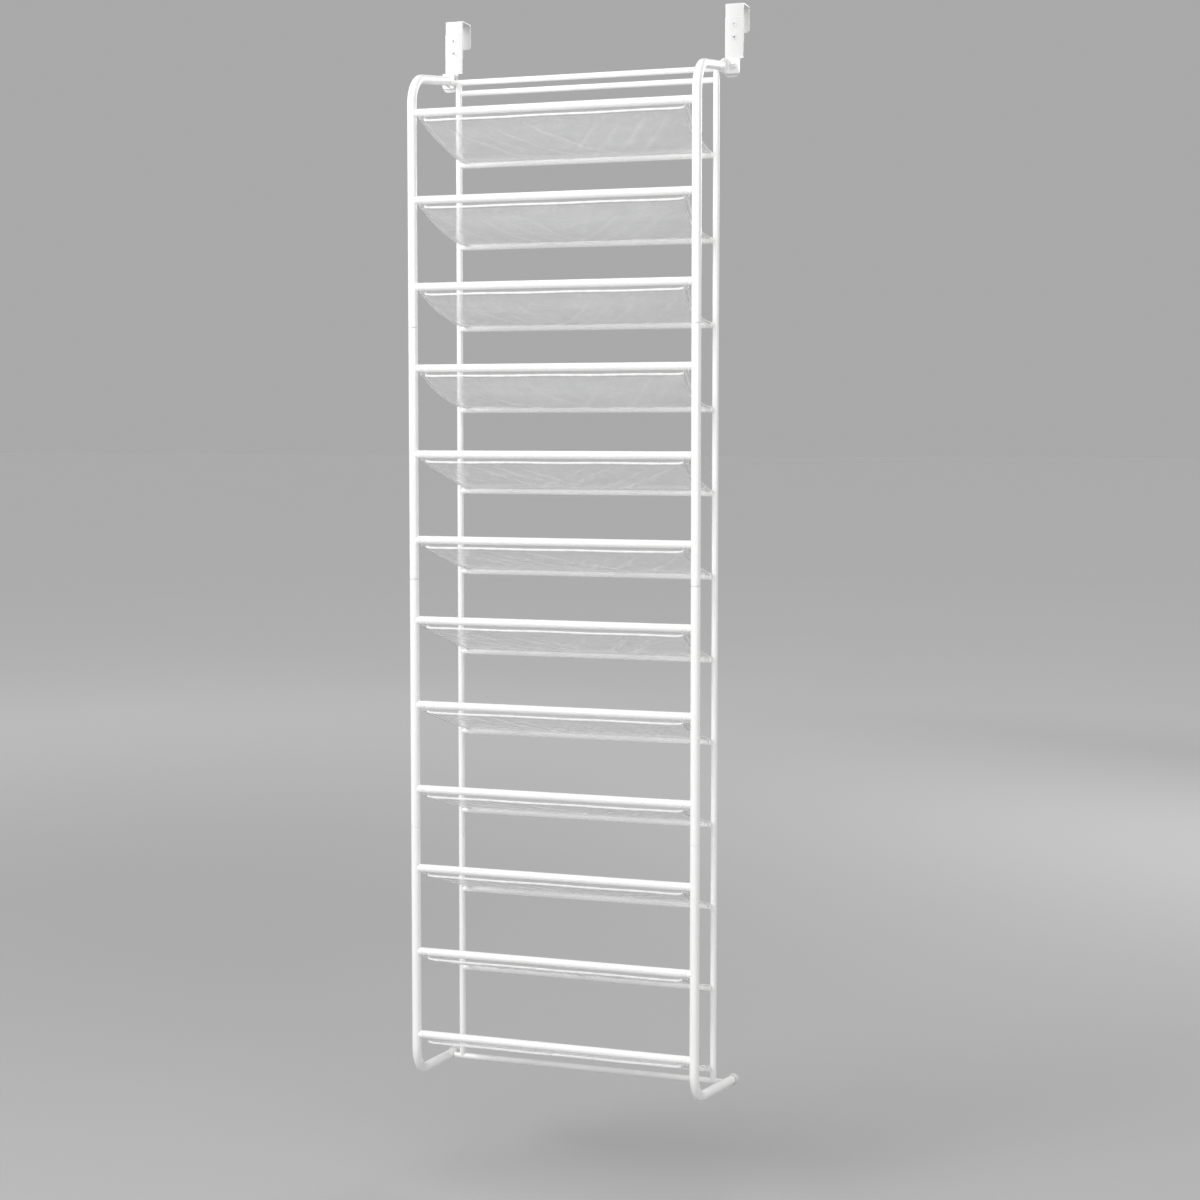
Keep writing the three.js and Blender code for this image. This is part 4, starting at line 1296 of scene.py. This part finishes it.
class RACK_OT_foot_caps(bpy.types.Operator):
    """Makes the moulded caps on the bottom legs, cut flat where they rest on the door"""

    bl_idname = "rack.foot_caps"
    bl_label = "Foot caps"

    def execute(self, context):
        settings = context.scene.rack_tubes
        for word in SIDES:
            self.cap(word, settings)
        return {"FINISHED"}

    def cap(self, word, settings):
        """A cup turned about the leg: in at the mouth, a bead, a slightly tapered wall, and a rounded
        edge. The rings slide along the leg until the last one lies in the door's plane."""
        name = f"foot_cap_{word}"
        _, foot, direction = bottom_leg(word, settings)
        first = np.cross(direction, UP)
        first /= np.linalg.norm(first)
        second = np.cross(direction, first)
        rows = np.array([
            (0.55, 0.0070), (0.55, 0.00815), (0.02, 0.00825), (0.0, 0.0086),
            (0.0, 0.0096), (0.02, 0.0100), (0.07, 0.0102), (0.14, 0.0102),
            (0.18, 0.0100), (0.20, 0.0098), (0.24, 0.0098), (0.60, 0.0100),
            (0.86, CAP_RADIUS - 0.0001), (0.94, CAP_RADIUS - 0.0002),
            (0.98, CAP_RADIUS - 0.0006), (1.0, CAP_RADIUS - 0.0012)])
        angle = np.linspace(0, 2 * math.pi, 64, endpoint=False)[:, None]
        ring = (np.cos(angle) * first + np.sin(angle) * second)[None] * rows[:, 1, None, None]
        start = foot - direction * CAP_LENGTH + ring
        travel = -start[..., 1] / direction[1]
        points = start + direction * (travel * rows[:, 0, None])[..., None]
        made = Shells().grid(points).mesh(name)
        piece(name, "moulding", made, "cap", sharp=50.0)


# ---------------------------------------------------------------- stage


LAMP_SIZE = 2.4


class RACK_OT_stage(bpy.types.Operator):
    """Makes the floor, the soft lights and the camera"""

    bl_idname = "rack.stage"
    bl_label = "Stage"

    def execute(self, context):
        settings = context.scene.rack_stage
        self.ground(settings)
        self.lights(context, settings)
        self.camera(context, settings)
        return {"FINISHED"}

    def ground(self, settings):
        """One level sheet under the rack, out to where it meets the sky."""
        edge = np.array([-90.0, -20.0, -6.0, 0.0, 6.0, 20.0, 90.0])
        x, y = np.meshgrid(edge, edge, indexing="ij")
        points = np.stack([x, y, np.full_like(x, settings.floor)], axis=-1)
        made = Shells().grid(points, close_v=False, caps=False).mesh("floor")
        made.materials.append(finish_of("floor"))
        ground = bpy.data.objects.new("floor", made)
        bpy.context.scene.collection.objects.link(ground)

    def lights(self, context, settings):
        """Four soft discs, each turned towards the rack, in an even grey room."""
        for name, power, place, aim in (
            ("key", 150.0, (-2.7, -3.4, 1.0), (0.0, -0.1, -0.9)),
            ("fill", 58.0, (3.4, -3.2, -0.3), (0.0, -0.1, -1.2)),
            ("overhead", 34.0, (0.0, -1.2, 2.1), (0.0, -0.1, -1.0)),
            ("rear", 70.0, (1.6, 3.4, 0.9), (0.0, -0.1, -0.9)),
        ):
            lamp = bpy.data.lights.new(name, "AREA")
            lamp.shape, lamp.size, lamp.energy = "DISK", LAMP_SIZE, power
            thing = bpy.data.objects.new(name, lamp)
            thing.location = place
            towards = Vector(aim) - Vector(place)
            thing.rotation_euler = towards.to_track_quat("-Z", "Y").to_euler()
            thing.visible_camera = False
            context.scene.collection.objects.link(thing)
        world = bpy.data.worlds.new("studio")
        world.use_nodes = True
        world.node_tree.nodes["Background"].inputs["Color"].default_value = settings.room
        context.scene.world = world
        context.scene.view_settings.view_transform = "Standard"
        context.scene.cycles.transparent_max_bounces = 48

    def camera(self, context, settings):
        """In front of the rack and to its right, looking a little down, with the frame shifted down a
        little more, so that uprights stay nearly upright."""
        lens = bpy.data.cameras.new("camera")
        lens.lens, lens.sensor_width, lens.sensor_fit = settings.lens, 36.0, "HORIZONTAL"
        lens.shift_y = -settings.down
        view = bpy.data.objects.new("camera", lens)
        view.location = settings.place
        view.rotation_euler = (math.pi / 2 - settings.tilt, 0.0, settings.turn)
        context.scene.collection.objects.link(view)
        context.scene.camera = view


# ---------------------------------------------------------------- panel and running


STEPS = (
    RACK_OT_side_tubes,
    RACK_OT_rear_uprights,
    RACK_OT_rails,
    RACK_OT_slings,
    RACK_OT_hooks,
    RACK_OT_bolts,
    RACK_OT_foot_caps,
    RACK_OT_stage,
)


class RACK_PT_panel(bpy.types.Panel):
    """Lists the rack's settings and the steps that build it"""

    bl_idname = "RACK_PT_panel"
    bl_label = "Shoe Rack"
    bl_space_type = "VIEW_3D"
    bl_region_type = "UI"
    bl_category = "Shoe Rack"

    def draw(self, context):
        scene = context.scene
        for group in (getattr(scene, name) for name in GROUPS):
            box = self.layout.box()
            for name in group.bl_rna.properties.keys():
                if name not in ("rna_type", "name"):
                    box.prop(group, name)
        for step in STEPS:
            self.layout.operator(step.bl_idname)


GROUPS = {
    "rack_tubes": RackTubeSettings,
    "rack_slings": RackSlingSettings,
    "rack_hooks": RackHookSettings,
    "rack_colours": RackColours,
    "rack_stage": RackStageSettings,
}


def register():
    for cls in (*GROUPS.values(), *STEPS, RACK_PT_panel):
        bpy.utils.register_class(cls)
    for name, group in GROUPS.items():
        setattr(bpy.types.Scene, name, PointerProperty(type=group))


def unregister():
    for name in GROUPS:
        delattr(bpy.types.Scene, name)
    for cls in reversed((*GROUPS.values(), *STEPS, RACK_PT_panel)):
        bpy.utils.unregister_class(cls)


def main():
    register()
    for step in STEPS:
        group, action = step.bl_idname.split(".")
        if getattr(getattr(bpy.ops, group), action)() != {"FINISHED"}:
            raise RuntimeError(f"{step.bl_label} did not finish")


if __name__ == "__main__":
    main()
